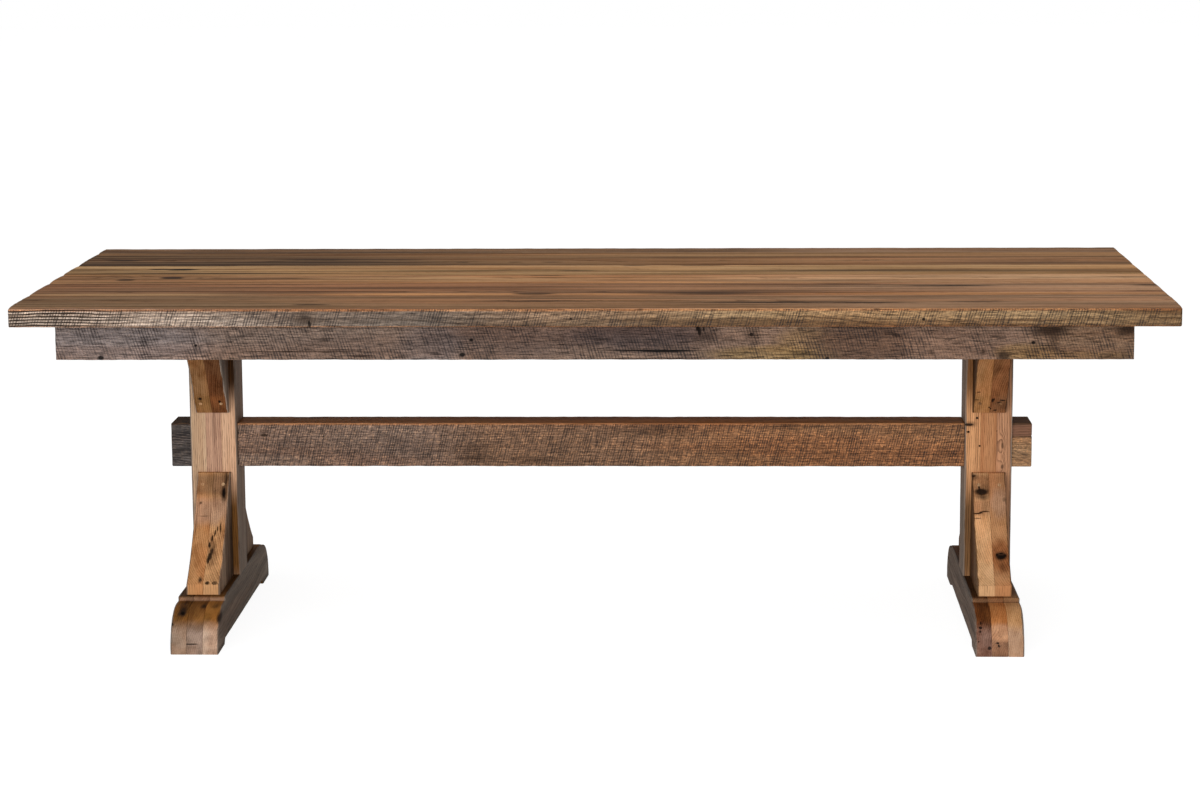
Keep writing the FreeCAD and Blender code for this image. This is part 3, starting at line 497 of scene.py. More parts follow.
def shape_ends(bm, low, high):
    """Each plank was cut by itself: its ends are bowed, not quite in line, and worn at the table's
    front corners."""
    half = (high.x - low.x) / 2
    middle = (low.y + high.y) / 2
    for vert in bm.verts:
        share = max(abs(vert.co.x) - (half - END_REACH), 0) / END_REACH
        if share > 0:
            bow = RIGHT_BOW if vert.co.x > 0 else END_BOW
            bow *= abs((vert.co.y - middle) / (high.y - middle)) ** 3
            corner = CORNER_WEAR * max(1 - (vert.co.y - FRONT) / CORNER_REACH, 0) ** 2
            wave = END_WAVE * (1 + noise.noise(Vector((vert.co.y * 14, math.copysign(7, vert.co.x), 0))))
            vert.co.x -= math.copysign((bow + corner + wave) * share, vert.co.x)


for index in PLANKS:
    make_plank(index)

# ---------- the tongues
# Loose tongues of planed oak join the planks. They lie inside the top, so the solids serve as
# they are.

PLANED = ((180, 144, 104), (134, 100, 68))

planed = oak("planed_oak", "X", PLANED, 7.0, (0.3, 0.2))


def keep(node, material):
    """Leave a solid as it is, with a finish of its own."""
    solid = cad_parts[node]
    solid.data.materials.clear()
    solid.data.materials.append(material)


keep("top_tongues", planed)

# ---------- the apron
# Boards of old barn siding under the top, housed at the corners, as the saw left them: grey and
# purple with weather at the left, browner at the right, with nail holes and a split low down.

APRON_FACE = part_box("apron_front")[0].y
ARRIS_REACH = 0.003
APRON_LEAN = 0.3
APRON_ARRIS = 0.0012
APRON_STEP = 0.0035
APRON_KERF = 0.0009
APRON_FRAY = 0.0008
APRON_TONES = ((166, 138, 119), (102, 83, 72))
DUSK = ((104, 88, 84), (60, 50, 50))
GOLD = ((170, 142, 98), (126, 98, 62))


def nail(plane, x, z, radius=3.0):
    """A rusted nail's hole in an upright face, in millimetres along and up."""
    return "hole", (x / 1000, plane, z / 1000), (radius * 1.3 / 1000, 0.01, radius / 1000), 0.97


def on_apron(kind, x, z, length, height, strength=0.8):
    """A mark or zone on the front board, in millimetres."""
    return kind, (x / 1000, APRON_FACE, z / 1000), (length / 2000, 0.02, height / 2000), strength


APRON_ZONES = [
    (SLATE, -990, 700, 400, 100, 0.85), (SLATE, -336, 690, 130, 100, 0.7),
    (((148, 130, 118), (94, 80, 74)), -560, 700, 500, 100, 0.6), (DUSK, -180, 705, 340, 80, 0.5),
    (DUSK, 100, 715, 300, 70, 0.85), (GOLD, 376, 672, 260, 36, 0.8), (GOLD, 450, 690, 130, 80, 0.6),
    (((122, 98, 82), (78, 60, 50)), 560, 700, 200, 100, 0.9), (GOLD, 900, 676, 120, 36, 0.7),
    (GOLD, 1000, 670, 240, 18, 0.6), (((166, 130, 96), (108, 82, 58)), 1040, 700, 240, 100, 0.5),
]
APRON_NAILS = [
    (-1029, 666, 4.5), (-828, 692, 2.5), (-251, 703), (-270, 672, 4.5), (333, 714), (916, 697),
    (490, 664),
]
APRON_MARKS = [
    ("hole", 221, 729, 7, 14, 0.98), ("hole", 225, 720, 6, 16, 0.98), ("hole", 233, 727, 3, 12, 0.8),
    ("stain", 236, 718, 34, 40, 0.4), ("stain", 335, 718, 30, 30, 0.5),
    ("hole", 125, 681, 200, 2.8, 0.95), ("hole", 150, 680.2, 100, 4.4, 0.97),
    ("stain", 437, 672, 130, 3.4, 0.9), ("stain", -590, 679, 260, 2.6), ("stain", -482, 669, 50, 5),
    ("stain", 110, 663, 200, 3, 0.7), ("stain", 949, 722, 70, 30, 0.75), ("stain", 957, 699, 22, 40, 0.5),
    ("knot", 855, 669, 24, 18), ("stain", 705, 676, 14, 12, 0.5), ("stain", 813, 678, 10, 12, 0.6),
    ("stain", 1110, 726, 50, 30, 0.7), ("stain", 1090, 667, 60, 14, 0.5),
]


def make_apron(node, grain, seed, face, zones=(), marks=()):
    """An apron board; face is the axis and side that the saw left rough."""
    low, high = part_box(node)
    axis, side = face
    bm = box_of_wood(low, high)
    ease(bm, bm.edges[:], APRON_ARRIS)
    divide(bm, 1 - axis, APRON_STEP)
    divide(bm, 2, APRON_STEP)
    plane = low[axis] if side < 0 else high[axis]
    saw(bm, axis, plane, -side, -APRON_LEAN, APRON_KERF)
    fray(bm, low, high, APRON_FRAY, ARRIS_REACH)
    middle = (low + high) / 2
    heart = (middle[axis] + 0.02, middle.z + 0.09)
    sawn = dict(turn=(0, APRON_LEAN, 0) if axis == 1 else (-APRON_LEAN, 0, 0), lines=165,
                kerf_ink=0.6, grain_ink=0.7, patchy=0.8, glow=0.57)
    wood = oak(f"{node}_oak", grain, APRON_TONES, seed, heart, zones, marks, sawn,
               ring=0.006, figure=0.15, streak=1.2)
    finished(bm, node, wood)


make_apron("apron_front", "X", 11.0, (1, -1), [on_apron(*row) for row in APRON_ZONES],
           [nail(APRON_FACE, *row) for row in APRON_NAILS] + [on_apron(*row) for row in APRON_MARKS])
make_apron("apron_back", "X", 12.0, (1, 1))
make_apron("apron_end_left", "Y", 13.0, (0, -1))
make_apron("apron_end_right", "Y", 14.0, (0, 1))

keep("apron_corner_blocks", planed)
keep("apron_glue_blocks", planed)

# ---------- the headers
# A planed board across the head of each trestle carries the top; lag screws in slots let the
# planks move.

for side, seed in (("left", 21.0), ("right", 22.0)):
    keep(f"header_{side}", oak(f"header_{side}_oak", "Y", PLANED, seed, (0.9, 0.6)))


def steel(name, colour, seed):
    """Zinc-plated steel, dulled and spotted."""
    finish = Finish(name)
    place = finish.add("TexCoord", output="Object")
    dull = finish.mottle(place, (240, 240, 240), seed, 3.0)
    rust = finish.step(finish.mottle(place, (90, 90, 90), seed + 2, 2.0), 0.56, 0.7)
    shade = finish.blend(0.5 * dull, tint(colour), tint(UMBER))
    shade = finish.blend(0.6 * rust, shade, tint((104, 62, 38)))
    return finish.surface(shade, 0.32 + 0.3 * dull, dull, 0.0002, 0.9)


keep("header_screws", steel("screw_steel", (170, 168, 164), 31.0))

# ---------- the feet
# Each foot is laminated from three plies cut to one outline: a raised flat, a step, a quarter round
# at each end and a relief between two pads. The plies come from different boards.

FOOT_FLAT = 0.267
FOOT_STEP = 0.009
FOOT_ROUND = 0.085
FOOT_PAD = 0.088
FOOT_RELIEF = 0.012
FOOT_RUN = 0.009
NOTCH = 0.0392
NOTCH_DEPTH = 0.0642
ARRIS = 0.002
GLUE_LINE = 0.0004
SLICE = 0.012
FOOT_RIPPLE = 0.0005
FOOT_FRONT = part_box("foot_ply_outer_left")[0].y
FOOT_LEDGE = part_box("foot_ply_outer_left")[1].z - FOOT_STEP

# Of each ply: tones of the rounded top and of the upright end, which is paler with a painted
# reflection, seed, and marks as foot_flaw takes them.
FOOT_PLIES = {
    "outer_left": (((140, 96, 48), (72, 44, 20)), ((168, 144, 124), (128, 104, 84)), 41.0, [
        ("stain", -899, 83, 18, 14, 0.95), ("hole", -898, 82, 7, 5), ("hole", -917, 62, 5, 4)]),
    "middle_left": (((150, 102, 54), (100, 64, 32)), ((172, 146, 129), (124, 102, 86)), 42.0, [
        ("hole", -875, 22.7, 26, 2.2), ("stain", -856, 91, 14, 5, 0.7)]),
    "inner_left": (((180, 122, 62), (117, 78, 36)), ((212, 182, 158), (158, 131, 111)), 43.0, [
        ("stain", -817, 76, 10, 22), ("stain", -830, 91, 16, 5, 0.6)]),
    "inner_right": (((124, 74, 38), (71, 38, 19)), ((153, 118, 102), (98, 67, 54)), 44.0, [
        ("hole", 827, 59.2, 7, 5), ("hole", 828.5, 68, 3, 5), ("hole", 826.2, 52, 4, 4, 0.8),
        ("hole", 822, 33, 3, 3, 0.7), ("hole", 846.5, 19, 8, 7)]),
    "middle_right": (((194, 132, 80), (146, 90, 46)), ((166, 126, 98), (104, 76, 58)), 45.0, [
        ("hole", 864, 29, 5, 4), ("hole", 865.5, 23, 4, 5), ("knot", 870, 48, 16, 14, 0.2)]),
    "outer_right": (((216, 163, 112), (172, 123, 78)), ((202, 163, 132), (168, 128, 99)), 46.0, []),
}
FOOT_FLAT_TONES = ((88, 62, 40), (52, 34, 21))
# The feet's sides: weathered grey, painted darker as shade.
FOOT_SIDE_TONES = ((128, 119, 110), (88, 80, 73))
STEP_TONES = {"left": ((174, 136, 108), (126, 94, 72)), "right": ((150, 108, 76), (110, 80, 56))}


def flaw(kind, x, y, z, width, height, strength=0.9):
    """A mark on a face that looks forward, in millimetres."""
    return kind, (x / 1000, y / 1000, z / 1000), (width / 2000, 0.03, height / 2000), strength


def foot_flaw(kind, x, z, width, height, strength=0.9):
    """A mark on the rounded front of a foot, at its height on the quarter round."""
    rise = max(z / 1000 - (FOOT_LEDGE - FOOT_ROUND), 0)
    y = FOOT_FRONT + FOOT_ROUND - math.sqrt(FOOT_ROUND ** 2 - rise ** 2)
    return flaw(kind, x, 1000 * y, z, width, height, strength)


SWIRL = ((214, 166, 128), (168, 124, 94))


def weathered_sides(node, side, tones=WEATHERED):
    """The inner and outer faces of a trestle were never oiled: grey, thinly."""
    low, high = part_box(node)
    reach = (0.0032, 2, 2)
    centre = (low + high) / 2
    return [(tones, (face, centre.y, centre.z), reach, 0.9) for face in trestle_faces(side)]


def trestle_faces(side):
    ends = (0, 1) if side == "left" else (1, 0)
    return [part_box(f"post_ply_{ply}_{side}")[end].x for ply, end in zip(("outer", "inner"), ends)]


def make_foot_ply(name):
    node = f"foot_ply_{name}"
    low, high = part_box(node)
    upper, lower, seed, marks = FOOT_PLIES[name]
    ply, side = name.split("_")
    end = high.y
    ledge = high.z - FOOT_STEP
    half = [(FOOT_FLAT, high.z), (FOOT_FLAT, ledge), (end, ledge), (end, 0), (end - FOOT_PAD, 0),
            (end - FOOT_PAD - FOOT_RUN, FOOT_RELIEF)]
    if ply == "middle":
        half = [(NOTCH, high.z - NOTCH_DEPTH), (NOTCH, high.z)] + half
    outline = half + [(-y, z) for y, z in reversed(half)]
    bm = bmesh.new()
    face = bm.faces.new([bm.verts.new((low.x, y, z)) for y, z in outline])
    thicken(bm, face, high.x - low.x)
    ease(bm, [edge for edge in bm.edges if lies_in(edge, 2, ledge)
              and any(lies_in(edge, 1, tip) for tip in (-end, end))], FOOT_ROUND, 20)
    soften_faces(bm, ply, side, low, high)
    slice_up(bm, 1, low.y, high.y, SLICE)
    slice_up(bm, 2, low.z, high.z, SLICE)
    ripple(bm, low, high, FOOT_RIPPLE)
    middle = (low + high) / 2
    # The upright ends are paler: painted reflection.
    zones = [(lower, (middle.x, y, 0.022), (1, 0.06, 0.04), 1.0) for y in (low.y, high.y)]
    zones.append((FOOT_FLAT_TONES, (middle.x, 0, high.z), (1, 0.3, 0.006), 0.85))
    zones += [(STEP_TONES[side], (middle.x, y, ledge), (1, 0.006, 0.007), 0.9)
              for y in (-FOOT_FLAT, FOOT_FLAT)]
    if name == "middle_right":
        zones.append((SWIRL, (middle.x, low.y, 0.05), (1, 0.05, 0.016), 1.0))
    zones += weathered_sides(node, side, FOOT_SIDE_TONES)
    wood = oak(f"{node}_oak", "Y", upper, seed, (middle.x + 0.16, -0.03 + 0.02 * (seed % 3)), zones,
               [foot_flaw(*row) for row in marks], ring=0.004, figure=0.2, streak=2.4)
    finished(bm, node, wood)


def thicken(bm, face, thickness):
    """Draw a board's outline out along X."""
    grown = bmesh.ops.extrude_face_region(bm, geom=[face])
    moved = [part for part in grown["geom"] if isinstance(part, bmesh.types.BMVert)]
    bmesh.ops.translate(bm, vec=(thickness, 0, 0), verts=moved)
    bmesh.ops.recalc_face_normals(bm, faces=bm.faces)


def soften_faces(bm, ply, side, low, high):
    """Round the arris of a ply's outer face, and open a hair line at its glue lines."""
    sign = -1 if side == "left" else 1
    exposed = {"outer": sign, "inner": -sign}.get(ply, 0)
    for way, face in ((-1, low.x), (1, high.x)):
        rim = [edge for edge in bm.edges if lies_in(edge, 0, face) and edge.calc_face_angle(0) > 0.5]
        ease(bm, rim, ARRIS if way == exposed else GLUE_LINE, 2 if way == exposed else 1)


def slice_up(bm, axis, low, high, spacing):
    """Cut across a piece at even steps, so that wear has points to move."""
    normal = Vector((0, 0, 0))
    normal[axis] = 1
    count = round((high - low) / spacing)
    for index in range(1, count):
        plane = Vector((0, 0, 0))
        plane[axis] = low + (high - low) * index / count
        geom = bm.verts[:] + bm.edges[:] + bm.faces[:]
        bmesh.ops.bisect_plane(bm, geom=geom, dist=1e-6, plane_co=plane, plane_no=normal)


def ripple(bm, low, high, depth):
    """Hand planing and wear: draw a piece's skin in by up to a depth, along its normals."""
    bm.normal_update()
    for vert in bm.verts:
        wave = 0.5 + 0.5 * noise.noise(vert.co * 23) + 0.3 * noise.noise(vert.co * 90)
        on_joint = min(vert.co.z - low.z, high.z - vert.co.z) < 1e-5
        if not on_joint:
            vert.co -= vert.normal * depth * max(wave, 0)


for name in FOOT_PLIES:
    make_foot_ply(name)

# ---------- the posts
# Three plies again: the middle one runs on as a tenon into the foot and the header, and the inner
# two are mortised for the beam. The left post is pale and straight grained, the right one amber.

POST_PLIES = {
    "outer_left": (((208, 176, 144), (170, 137, 107)), 51.0),
    "middle_left": (((202, 160, 132), (156, 117, 95)), 52.0),
    "inner_left": (((219, 178, 145), (184, 142, 110)), 53.0),
    "inner_right": (((230, 170, 120), (166, 118, 80)), 54.0),
    "middle_right": (((192, 140, 98), (158, 110, 74)), 55.0),
    "outer_right": (((206, 152, 114), (132, 96, 72)), 56.0),
}
# The wood beside the corbels is darker, low down and high up: painted shade of the corbels, and dust.
SHADE_AND_DUST_BESIDE_CORBELS = {
    "inner_left": (((136, 94, 48), (94, 62, 30)), ((78, 48, 22), (46, 28, 12))),
    "inner_right": (((148, 108, 70), (80, 54, 34)), ((164, 114, 72), (112, 75, 42))),
}
CORBEL_RISES = (0.19, 0.61)
POST_RIPPLE = 0.0003
POST_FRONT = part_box("post_ply_outer_left")[0].y
POST_MARKS = {
    "inner_right": [
        nail(POST_FRONT, 842.4, 461.8, 2.2), nail(POST_FRONT, 823.3, 430.4, 2.2),
        nail(POST_FRONT, 849, 399, 1.8),
        ("hole", (0.824, POST_FRONT, 0.4468), (0.009, 0.02, 0.0025), 0.95),
        ("stain", (0.828, POST_FRONT, 0.448), (0.012, 0.02, 0.006), 0.5)],
    "outer_right": [
        nail(POST_FRONT, 882.8, 432.6),
        ("knot", (0.8996, POST_FRONT, 0.399), (0.0024, 0.01, 0.007), 0.7),
        ("knot", (0.8996, POST_FRONT, 0.3518), (0.003, 0.01, 0.005), 0.7)],
    "middle_left": [("stain", (-0.868, POST_FRONT, 0.44), (0.005, 0.02, 0.035), 0.25)],
}


def worn_copy(node, spacing, depth):
    """A copy of a solid with enough points for wear."""
    low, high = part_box(node)
    bm = bmesh.new()
    bm.from_mesh(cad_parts[node].data)
    bmesh.ops.remove_doubles(bm, verts=bm.verts, dist=1e-6)
    bmesh.ops.dissolve_limit(bm, angle_limit=math.radians(1), verts=bm.verts, edges=bm.edges)
    for axis in range(3):
        slice_up(bm, axis, low[axis], high[axis], spacing)
    ripple(bm, low, high, depth)
    return bm


for name, (tones, seed) in POST_PLIES.items():
    node = f"post_ply_{name}"
    low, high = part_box(node)
    heart = ((low.x + high.x) / 2 + 0.1, POST_FRONT - 0.02 - 0.02 * (seed % 3))
    # Painted shade and dust beside the corbels, at the lower and the upper corbels' heights.
    zones = [(shade, ((low.x + high.x) / 2, 0, rise), (1, 1, 0.1), 1.0)
             for shade, rise in zip(SHADE_AND_DUST_BESIDE_CORBELS.get(name, ()), CORBEL_RISES)]
    zones += weathered_sides(node, name.split("_")[1])
    wood = oak(f"{node}_oak", "Z", tones, seed, heart, zones, POST_MARKS.get(name, ()),
               ring=0.0042, figure=0.5, streak=1.2)
    finished(worn_copy(node, SLICE, POST_RIPPLE), node, wood)

# ---------- the corbels
# Four scrolled corbels brace each post, each of two plies: a thin toe, a straight land, a long hollow
# and an upright nose. A peg through each ply's land holds it to the post.

TOE = 0.011
LAND = 0.046
LAND_ANGLE = math.radians(36)
HOLLOW = 0.54
NOSE = 0.023
CORBEL_SLICE = 0.01
CORBEL_RIPPLE = 0.0004
# Painted sheen: a lamp's reflection on the hollow just below the land.
SHEEN = ((190, 154, 130), (146, 112, 90))
# Of each front ply: tones of the hollow and of the land, which is darker, zones of other wood and of
# painted sheen, and marks as flaw takes them. The back plies are plain.
CORBELS = {
    "lower_front_a_left": (
        ((206, 152, 102), (162, 111, 68)), ((164, 124, 88), (124, 88, 58)), [
        (SHEEN, (-0.888, -0.12, 0.262), (0.06, 0.05, 0.028), 0.7)], [
        ("stain", -875.4, -242.5, 133.3, 8, 10), ("stain", -892, -109.3, 278.9, 5, 5),
        ("stain", -899, -140, 248, 2.2, 80, 0.8), ("stain", -885, -133.8, 252, 32, 1.5, 0.7)]),
    "lower_front_b_left": (
        ((220, 167, 116), (144, 102, 68)), ((156, 116, 84), (96, 68, 46)), [
        (SHEEN, (-0.85, -0.12, 0.262), (0.06, 0.05, 0.028), 0.7),
        (AMBER, (-0.84, -0.15, 0.235), (0.01, 0.05, 0.02), 0.6)], [
        ("hole", -857.5, -196, 186, 8, 16), ("hole", -861, -201, 176, 9, 14),
        ("hole", -864, -206, 168, 6, 12), ("hole", -864, -184.2, 197, 5, 12),
        ("hole", -859, -172.1, 210.2, 5, 14), ("hole", -854.5, -166, 220, 3, 14),
        ("hole", -850, -160, 228, 3, 10), ("hole", -843, -153, 231.1, 3, 22),
        ("hole", -858.3, -247.5, 127.7, 8, 6), ("hole", -841.5, -247.5, 127.7, 10, 6, 0.7),
        ("stain", -856, -190, 190, 18, 50, 0.5), ("stain", -841.4, -94, 298, 12, 36),
        ("hole", -842, -94, 300, 5, 20, 0.9), ("stain", -839, -80, 325, 6, 34, 0.6)]),
    "lower_front_a_right": (
        ((236, 187, 138), (188, 140, 94)), ((190, 140, 98), (128, 88, 58)), [
        (((176, 128, 92), (128, 92, 66)), (0.85, -0.11, 0.272), (0.06, 0.05, 0.016), 0.7)], [
        ("hole", 851, -87.6, 302.5, 29, 12, 0.97), ("hole", 846, -87.6, 312, 4, 12),
        ("stain", 852, -87.6, 292, 26, 12, 0.8), ("stain", 850, -87.6, 306, 36, 22, 0.5),
        ("hole", 839.5, -126.1, 259, 14, 2.2), ("hole", 847, -126.1, 261, 8, 3),
        ("hole", 856, -126.1, 262.8, 18, 2.2, 0.8), ("stain", 840, -136.4, 249.3, 14, 2.4),
        ("hole", 834.5, -65, 334, 7, 4, 0.8), ("stain", 837, -65, 332, 14, 12, 0.6)]),
    "lower_front_b_right": (
        ((204, 150, 104), (160, 112, 74)), ((186, 136, 96), (150, 106, 72)), [
        (SHEEN, (0.89, -0.11, 0.28), (0.02, 0.05, 0.03), 0.5),
        (((168, 106, 64), (104, 62, 36)), (0.889, -0.2, 0.18), (0.026, 0.08, 0.034), 0.95)], [
        ("knot", 887, -200.9, 178.8, 28, 19, 0.95), ("hole", 887, -200.9, 176, 18, 7),
        ("hole", 878, -200.9, 180, 6, 6, 0.9), ("hole", 895, -200.9, 179, 6, 5),
        ("hole", 886, -200.9, 183, 10, 2, 0.8), ("stain", 885, -190, 164, 12, 16, 0.5),
        ("stain", 899.6, -102.6, 286.2, 6, 8, 0.6)]),
    "upper_front_a_left": (
        ((152, 112, 74), (104, 66, 34)), ((150, 108, 66), (104, 70, 38)), [], [
        ("hole", -890.2, -88.8, 511.5, 6, 6)]),
    "upper_front_b_left": (
        ((120, 80, 52), (76, 42, 20)), ((132, 84, 50), (84, 50, 28)), [], [
        ("hole", -847.6, -83.2, 503.8, 6, 6), ("stain", -847.6, -90, 492, 3, 24, 0.6)]),
    "upper_front_a_right": (
        ((182, 132, 88), (138, 96, 56)), ((176, 130, 84), (132, 92, 54)), [], [
        ("hole", 841, -95, 528.5, 8, 2, 0.8), ("stain", 844, -80, 501, 5, 4),
        ("stain", 838, -80, 509, 10, 2), ("hole", 866, -75.5, 490, 3, 3)]),
    "upper_front_b_right": (
        ((152, 102, 66), (94, 58, 32)), ((146, 98, 64), (92, 58, 34)), [], [
        ("hole", 871.5, -86.7, 507.5, 4, 9), ("hole", 874.5, -86.7, 510, 3, 6),
        ("hole", 894, -86.7, 507.5, 12, 3), ("hole", 888, -86.7, 501, 9, 4, 0.8),
        ("hole", 869, -72.5, 486.5, 5, 3), ("hole", 880, -72.5, 482.6, 8, 3),
        ("stain", 890, -80, 496, 30, 28, 0.35)]),
}
PLAIN_CORBEL = (((182, 134, 92), (134, 94, 60)), ((160, 120, 84), (116, 82, 54)), [], [])

# Tones of the corbels' flat sides, the right trestle's painted dark as shade, and a painted shade near
# the post.
SIDE_TONES = {
    "lower_left": ((146, 128, 112), (96, 80, 66)), "upper_left": ((170, 160, 148), (112, 102, 92)),
    "lower_right": ((92, 66, 44), (58, 40, 24)), "upper_right": ((92, 66, 44), (58, 40, 24)),
}
SHADE_NEAR_POST = ((72, 46, 26), (42, 25, 12))


def make_corbel_ply(place, hand, side, seed):
    name = f"{place}_{hand}_{side}"
    node = f"corbel_{name}"
    low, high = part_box(node)
    out = -1 if "front" in place else 1
    up = 1 if "lower" in place else -1
    post = high.y if out < 0 else low.y
    base = low.z if up > 0 else high.z
    reach = high.y - low.y
    height = high.z - low.z
    land_reach = TOE + LAND * math.tan(LAND_ANGLE)

    def at(distance, rise):
        return Vector((low.x, post + out * distance, base + up * rise))

    bm = bmesh.new()
    first = at(land_reach, height - LAND)
    last = at(reach, NOSE)
    chord = last - first
    away = Vector((1, 0, 0)).cross(chord).normalized()
    if away.y * out < 0:
        away = -away
    centre = (first + last) / 2 + away * math.sqrt(HOLLOW ** 2 - chord.length_squared / 4)
    turn = (first - centre).angle(last - centre)
    axis = (first - centre).cross(last - centre).normalized()
    start = bm.verts.new(first)
    bmesh.ops.spin(bm, geom=[start], cent=centre, axis=axis, angle=turn, steps=24)
    curve = sorted(bm.verts, key=lambda vert: up * vert.co.z)
    corners = [at(reach, 0), at(0, 0), at(0, height), at(TOE, height)]
    rest = [bm.verts.new(corner) for corner in corners]
    face = bm.faces.new(rest + list(reversed(curve)))
    thicken(bm, face, high.x - low.x)
    exposed = 1 if low.x + high.x > 2 * post_middle(side) else -1
    for way, plane in ((-1, low.x), (1, high.x)):
        rim = [edge for edge in bm.edges if lies_in(edge, 0, plane)
               and all((vert.co.y - post) * out > TOE - 1e-4 for vert in edge.verts)
               and any((vert.co.z - base) * up > 1e-4 for vert in edge.verts)]
        ease(bm, rim, ARRIS if way == exposed else GLUE_LINE, 2 if way == exposed else 1)
    slice_up(bm, 2, low.z, high.z, CORBEL_SLICE)
    slice_up(bm, 1, low.y, high.y, SLICE)
    ripple(bm, low, high, CORBEL_RIPPLE)
    hollow_tones, land_tones, others, marks = CORBELS.get(name, PLAIN_CORBEL)
    land_middle = at(TOE + LAND * math.tan(LAND_ANGLE) / 2, height - LAND / 2)
    zones = [(land_tones, land_middle, (0.1, 0.05, LAND / 2), 1.0), *others]
    even = tuple(0.75 * light + 0.25 * deep for light, deep in zip(*hollow_tones))
    zones.append(((even, even), at(reach, 0), (0.1, 0.02, NOSE), 0.75))
    root = (high.x if exposed > 0 else low.x, post, base)
    # Painted shade: the right sides' dark tones, and the shade near the post.
    zones += [(SIDE_TONES[f"{place.split('_')[0]}_{side}"], root, (0.0026, 1, 1), 0.85),
              (SHADE_NEAR_POST, root, (0.0026, 0.1, 0.17), 0.8)]
    heart = ((low.x + high.x) / 2 + 0.22, post + out * 0.02)
    wood = oak(f"{node}_oak", "Z", hollow_tones, seed, heart, zones,
               [flaw(*row) for row in marks], ring=0.0046, figure=0.35, streak=2.4)
    finished(bm, node, wood)


def post_middle(side):
    low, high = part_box(f"post_ply_middle_{side}")
    return (low.x + high.x) / 2


seed = 61.0
for side in ("left", "right"):
    for place in ("lower_front", "lower_back", "upper_front", "upper_back"):
        for hand in "ab":
            make_corbel_ply(place, hand, side, seed)
            seed += 1.0

# ---------- the pegs
# Sixteen pegs of pale oak, driven square to the lands and cut off flush, so that their ends show as
# light discs.

# The pegs in the right trestle's upper front lands are painted darker, as shade under the corbels.
keep("corbel_pegs", oak("peg_oak", "Z", ((204, 168, 128), (150, 112, 78)), 80.0, (0.2, 0.1), [
    (((116, 80, 50), (74, 48, 30)), (0.87, -0.085, 0.508), (0.05, 0.04, 0.03), 0.8)]))

# ---------- the beam
# One long beam between the trestles, tenoned and bolted: the saw left its sides rough, greyer at
# the left and warmer at the right, and its top is smooth with handling.

BEAM_TENON = (0.056, 0.074)
BEAM_LEAN = 0.24
BEAM_ARRIS = 0.0018
BEAM_GRID = (0.0036, 0.006, 0.0036)
BEAM_KERF = 0.0009
BEAM_FRAY = 0.0007
low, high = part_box("stretcher_beam")
middle = (low + high) / 2
shoulder_low = Vector((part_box("post_ply_inner_left")[1].x, low.y, low.z))
shoulder_high = Vector((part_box("post_ply_inner_right")[0].x, high.y, high.z))
BEAM_TONES = ((180, 140, 110), (112, 84, 66))
BEAM_ZONES = [
    (((166, 141, 125), (110, 88, 76)), (-0.62, low.y, middle.z), (0.3, 0.2, 0.2), 0.9),
    (((196, 142, 98), (106, 70, 46)), (0.6, low.y, middle.z), (0.45, 0.2, 0.2), 0.8),
    (WORN, (0, low.y, high.z), (9, 0.006, 0.0045), 0.8),
    (((170, 124, 86), (122, 86, 58)), (0, middle.y, high.z), (9, 0.036, 0.004), 0.9),
]
BEAM_MARKS = [
    ("knot", (-0.755, low.y, 0.421), (0.008, 0.02, 0.0035), 0.85),
    ("stain", (-0.275, low.y, 0.375), (0.04, 0.02, 0.024), 0.4),
    ("stain", (-0.15, low.y, 0.365), (0.06, 0.02, 0.012), 0.3),
    ("stain", (0.13, low.y, 0.43), (0.08, 0.02, 0.016), 0.35),
    ("stain", (0.43, low.y, 0.44), (0.05, 0.02, 0.008), 0.35),
]
bm = box_of_wood(shoulder_low, shoulder_high)
ease(bm, bm.edges[:], BEAM_ARRIS)
for axis, spacing in enumerate(BEAM_GRID):
    divide(bm, axis, spacing)
saw(bm, 1, low.y, 1, BEAM_LEAN, BEAM_KERF)
saw(bm, 1, high.y, -1, BEAM_LEAN, BEAM_KERF)
fray(bm, shoulder_low, shoulder_high, BEAM_FRAY, ARRIS_REACH)
for end in (-1, 1):
    tenon = bmesh.ops.create_cube(bm, size=1)["verts"]
    length = high.x - shoulder_high.x
    bmesh.ops.scale(bm, vec=(length, *BEAM_TENON), verts=tenon)
    bmesh.ops.translate(bm, vec=(end * (shoulder_high.x + length / 2), 0, middle.z), verts=tenon)
sawn = dict(turn=(0, -BEAM_LEAN, 0), lines=190, kerf_ink=0.62, grain_ink=0.78, patchy=0.4, glow=1.3,
            span=("Z", high.z - 0.001, high.z - 0.004))
beam_wood = oak("beam_oak", "X", BEAM_TONES, 91.0, (0.03, middle.z - 0.12), BEAM_ZONES, BEAM_MARKS,
                sawn, ring=0.005, figure=0.2, streak=0.9)
finished(bm, "stretcher_beam", beam_wood)

# ---------- bolts, washers, dowels
# A lag bolt and washer pull each end of the beam against its post, under the outer blocks, which
# are held by dowels.

bolt_steel = steel("bolt_steel", (150, 148, 144), 95.0)
keep("stretcher_bolts", bolt_steel)
keep("stretcher_washers", bolt_steel)
keep("stub_dowels", planed)

# ---------- the outer blocks
# Short blocks carry the beam's line through the posts. The left one is one charred, weathered block;
# the right one has a smooth brown layer over a rough tan one.

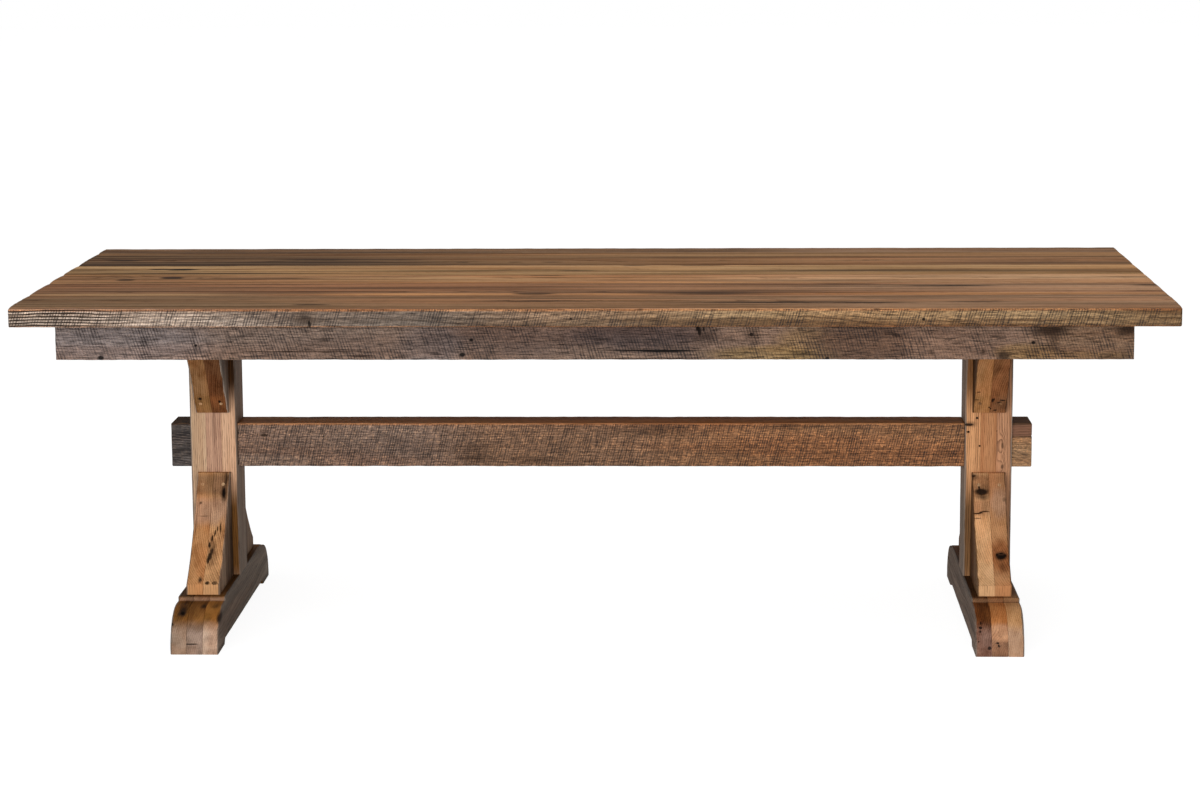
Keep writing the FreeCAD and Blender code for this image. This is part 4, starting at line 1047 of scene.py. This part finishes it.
CHARRED = dict(turn=(0, 1.45, 0), lines=170, kerf_ink=0.6, grain_ink=1.0, patchy=0.3, glow=0.8)
ROUGH_TAN = dict(turn=(0, 1.2, 0), lines=120, kerf_ink=0.2, grain_ink=0.6, patchy=0.5, glow=1.0)
STUBS = {
    "left": (((112, 104, 100), (44, 39, 36)), 101.0, CHARRED),
    "upper_right": (((136, 100, 80), (92, 68, 56)), 102.0, None),
    "lower_right": (((206, 162, 122), (136, 104, 74)), 103.0, ROUGH_TAN),
}
STUB_TOP_TONES = ((112, 86, 66), (72, 52, 38))
STUB_STEP = 0.006
STUB_RIPPLE = 0.0008
for name, (tones, seed, sawn) in STUBS.items():
    node = f"stub_block_{name}"
    low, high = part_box(node)
    zones = [(STUB_TOP_TONES, ((low.x + high.x) / 2, 0, high.z), (1, 1, 0.004), 0.9)]
    wood = oak(f"{node}_oak", "X", tones, seed, (0.02, low.z - 0.05), zones, (), sawn,
               ring=0.004, figure=0.25, streak=1.6)
    finished(worn_copy(node, STUB_STEP, STUB_RIPPLE), node, wood)

# ---------- floor and lights
# A plain pale floor, a wide soft light in front and overhead, and an even white surround.

FLOOR_SIZE = 60.0
FLOOR_COLOUR = (244, 244, 244)
FLOOR_GLOW = 0.8
FLOOR_GLOW_STRENGTH = 1.14

floor_bm = bmesh.new()
bmesh.ops.create_grid(floor_bm, x_segments=1, y_segments=1, size=FLOOR_SIZE / 2)
floor_mesh = bpy.data.meshes.new("floor")
floor_bm.to_mesh(floor_mesh)
floor_bm.free()
floor = bpy.data.objects.new("floor", floor_mesh)
bpy.context.scene.collection.objects.link(floor)


def seen_white(finish, share):
    """The share for rays that look at the background itself or at its reflection, and 0 for the rest."""
    path = finish.add("LightPath")
    camera, glossy, glass = (path.output(f"Is {ray} Ray") for ray in ("Camera", "Glossy", "Transmission"))
    rays = camera + glossy + glass
    return rays.maths("MINIMUM", 1.0) * share


paper = Finish("floor_paper")
fibres = paper.mottle(paper.add("TexCoord", output="Object"), (3, 3, 3), 1.0)
lit = paper.add("BsdfDiffuse", {}, {"Color": tint(FLOOR_COLOUR), "Roughness": 0.5 + 0.1 * fibres})
glow = paper.add("Emission", {}, {"Color": (1, 1, 1, 1), "Strength": FLOOR_GLOW_STRENGTH})
mixed = paper.add("MixShader", {}, {0: seen_white(paper, FLOOR_GLOW), 1: lit, 2: glow})
paper.add("OutputMaterial", {}, {"Surface": mixed})
floor_mesh.materials.append(paper.material)


def soft_light(name, place, aim, size, power):
    data = bpy.data.lights.new(name, "AREA")
    data.shape = "RECTANGLE"
    data.size, data.size_y = size
    data.energy = power
    lamp = bpy.data.objects.new(name, data)
    bpy.context.scene.collection.objects.link(lamp)
    lamp.location = place
    lamp.visible_camera = False
    lamp.rotation_euler = (Vector(aim) - Vector(place)).to_track_quat("-Z", "Y").to_euler()


soft_light("front_light", (-1.5, -6.2, 1.5), (0, 0, 0.3), (6.0, 2.6), 262)
soft_light("overhead_light", (0.9, 0.2, 4.0), (0.2, 0, 0.7), (4.0, 2.5), 62)

world = bpy.data.worlds.new("surround")
bpy.context.scene.world = world
world.use_nodes = True
SURROUND = 0.5
sky = Finish("surround_sky", world.node_tree)
strength = SURROUND + seen_white(sky, 1 - SURROUND)
backdrop = sky.add("Background", {}, {"Color": (1, 1, 1, 1), "Strength": strength})
sky.add("OutputWorld", {}, {"Surface": backdrop})

# ---------- the camera
# Standing height, in front and a little to the right of the middle, with a long lens.

CAMERA_PLACE = (0.2314, -6.6262, 1.6219)
CAMERA_TURN = math.radians(2.0)
CAMERA_DOWN = math.radians(9.654)
CAMERA_ROLL = math.radians(-0.344)
CAMERA_LENS = 89.6

camera = bpy.data.objects.new("camera", bpy.data.cameras.new("camera"))
camera.data.lens = CAMERA_LENS
camera.data.sensor_width = 36.0
camera.matrix_world = (Matrix.Translation(CAMERA_PLACE) @ Matrix.Rotation(CAMERA_TURN, 4, "Z")
                       @ Matrix.Rotation(math.pi / 2 - CAMERA_DOWN, 4, "X")
                       @ Matrix.Rotation(CAMERA_ROLL, 4, "Z"))
bpy.context.scene.collection.objects.link(camera)
bpy.context.scene.camera = camera
bpy.context.scene.view_settings.view_transform = "Standard"
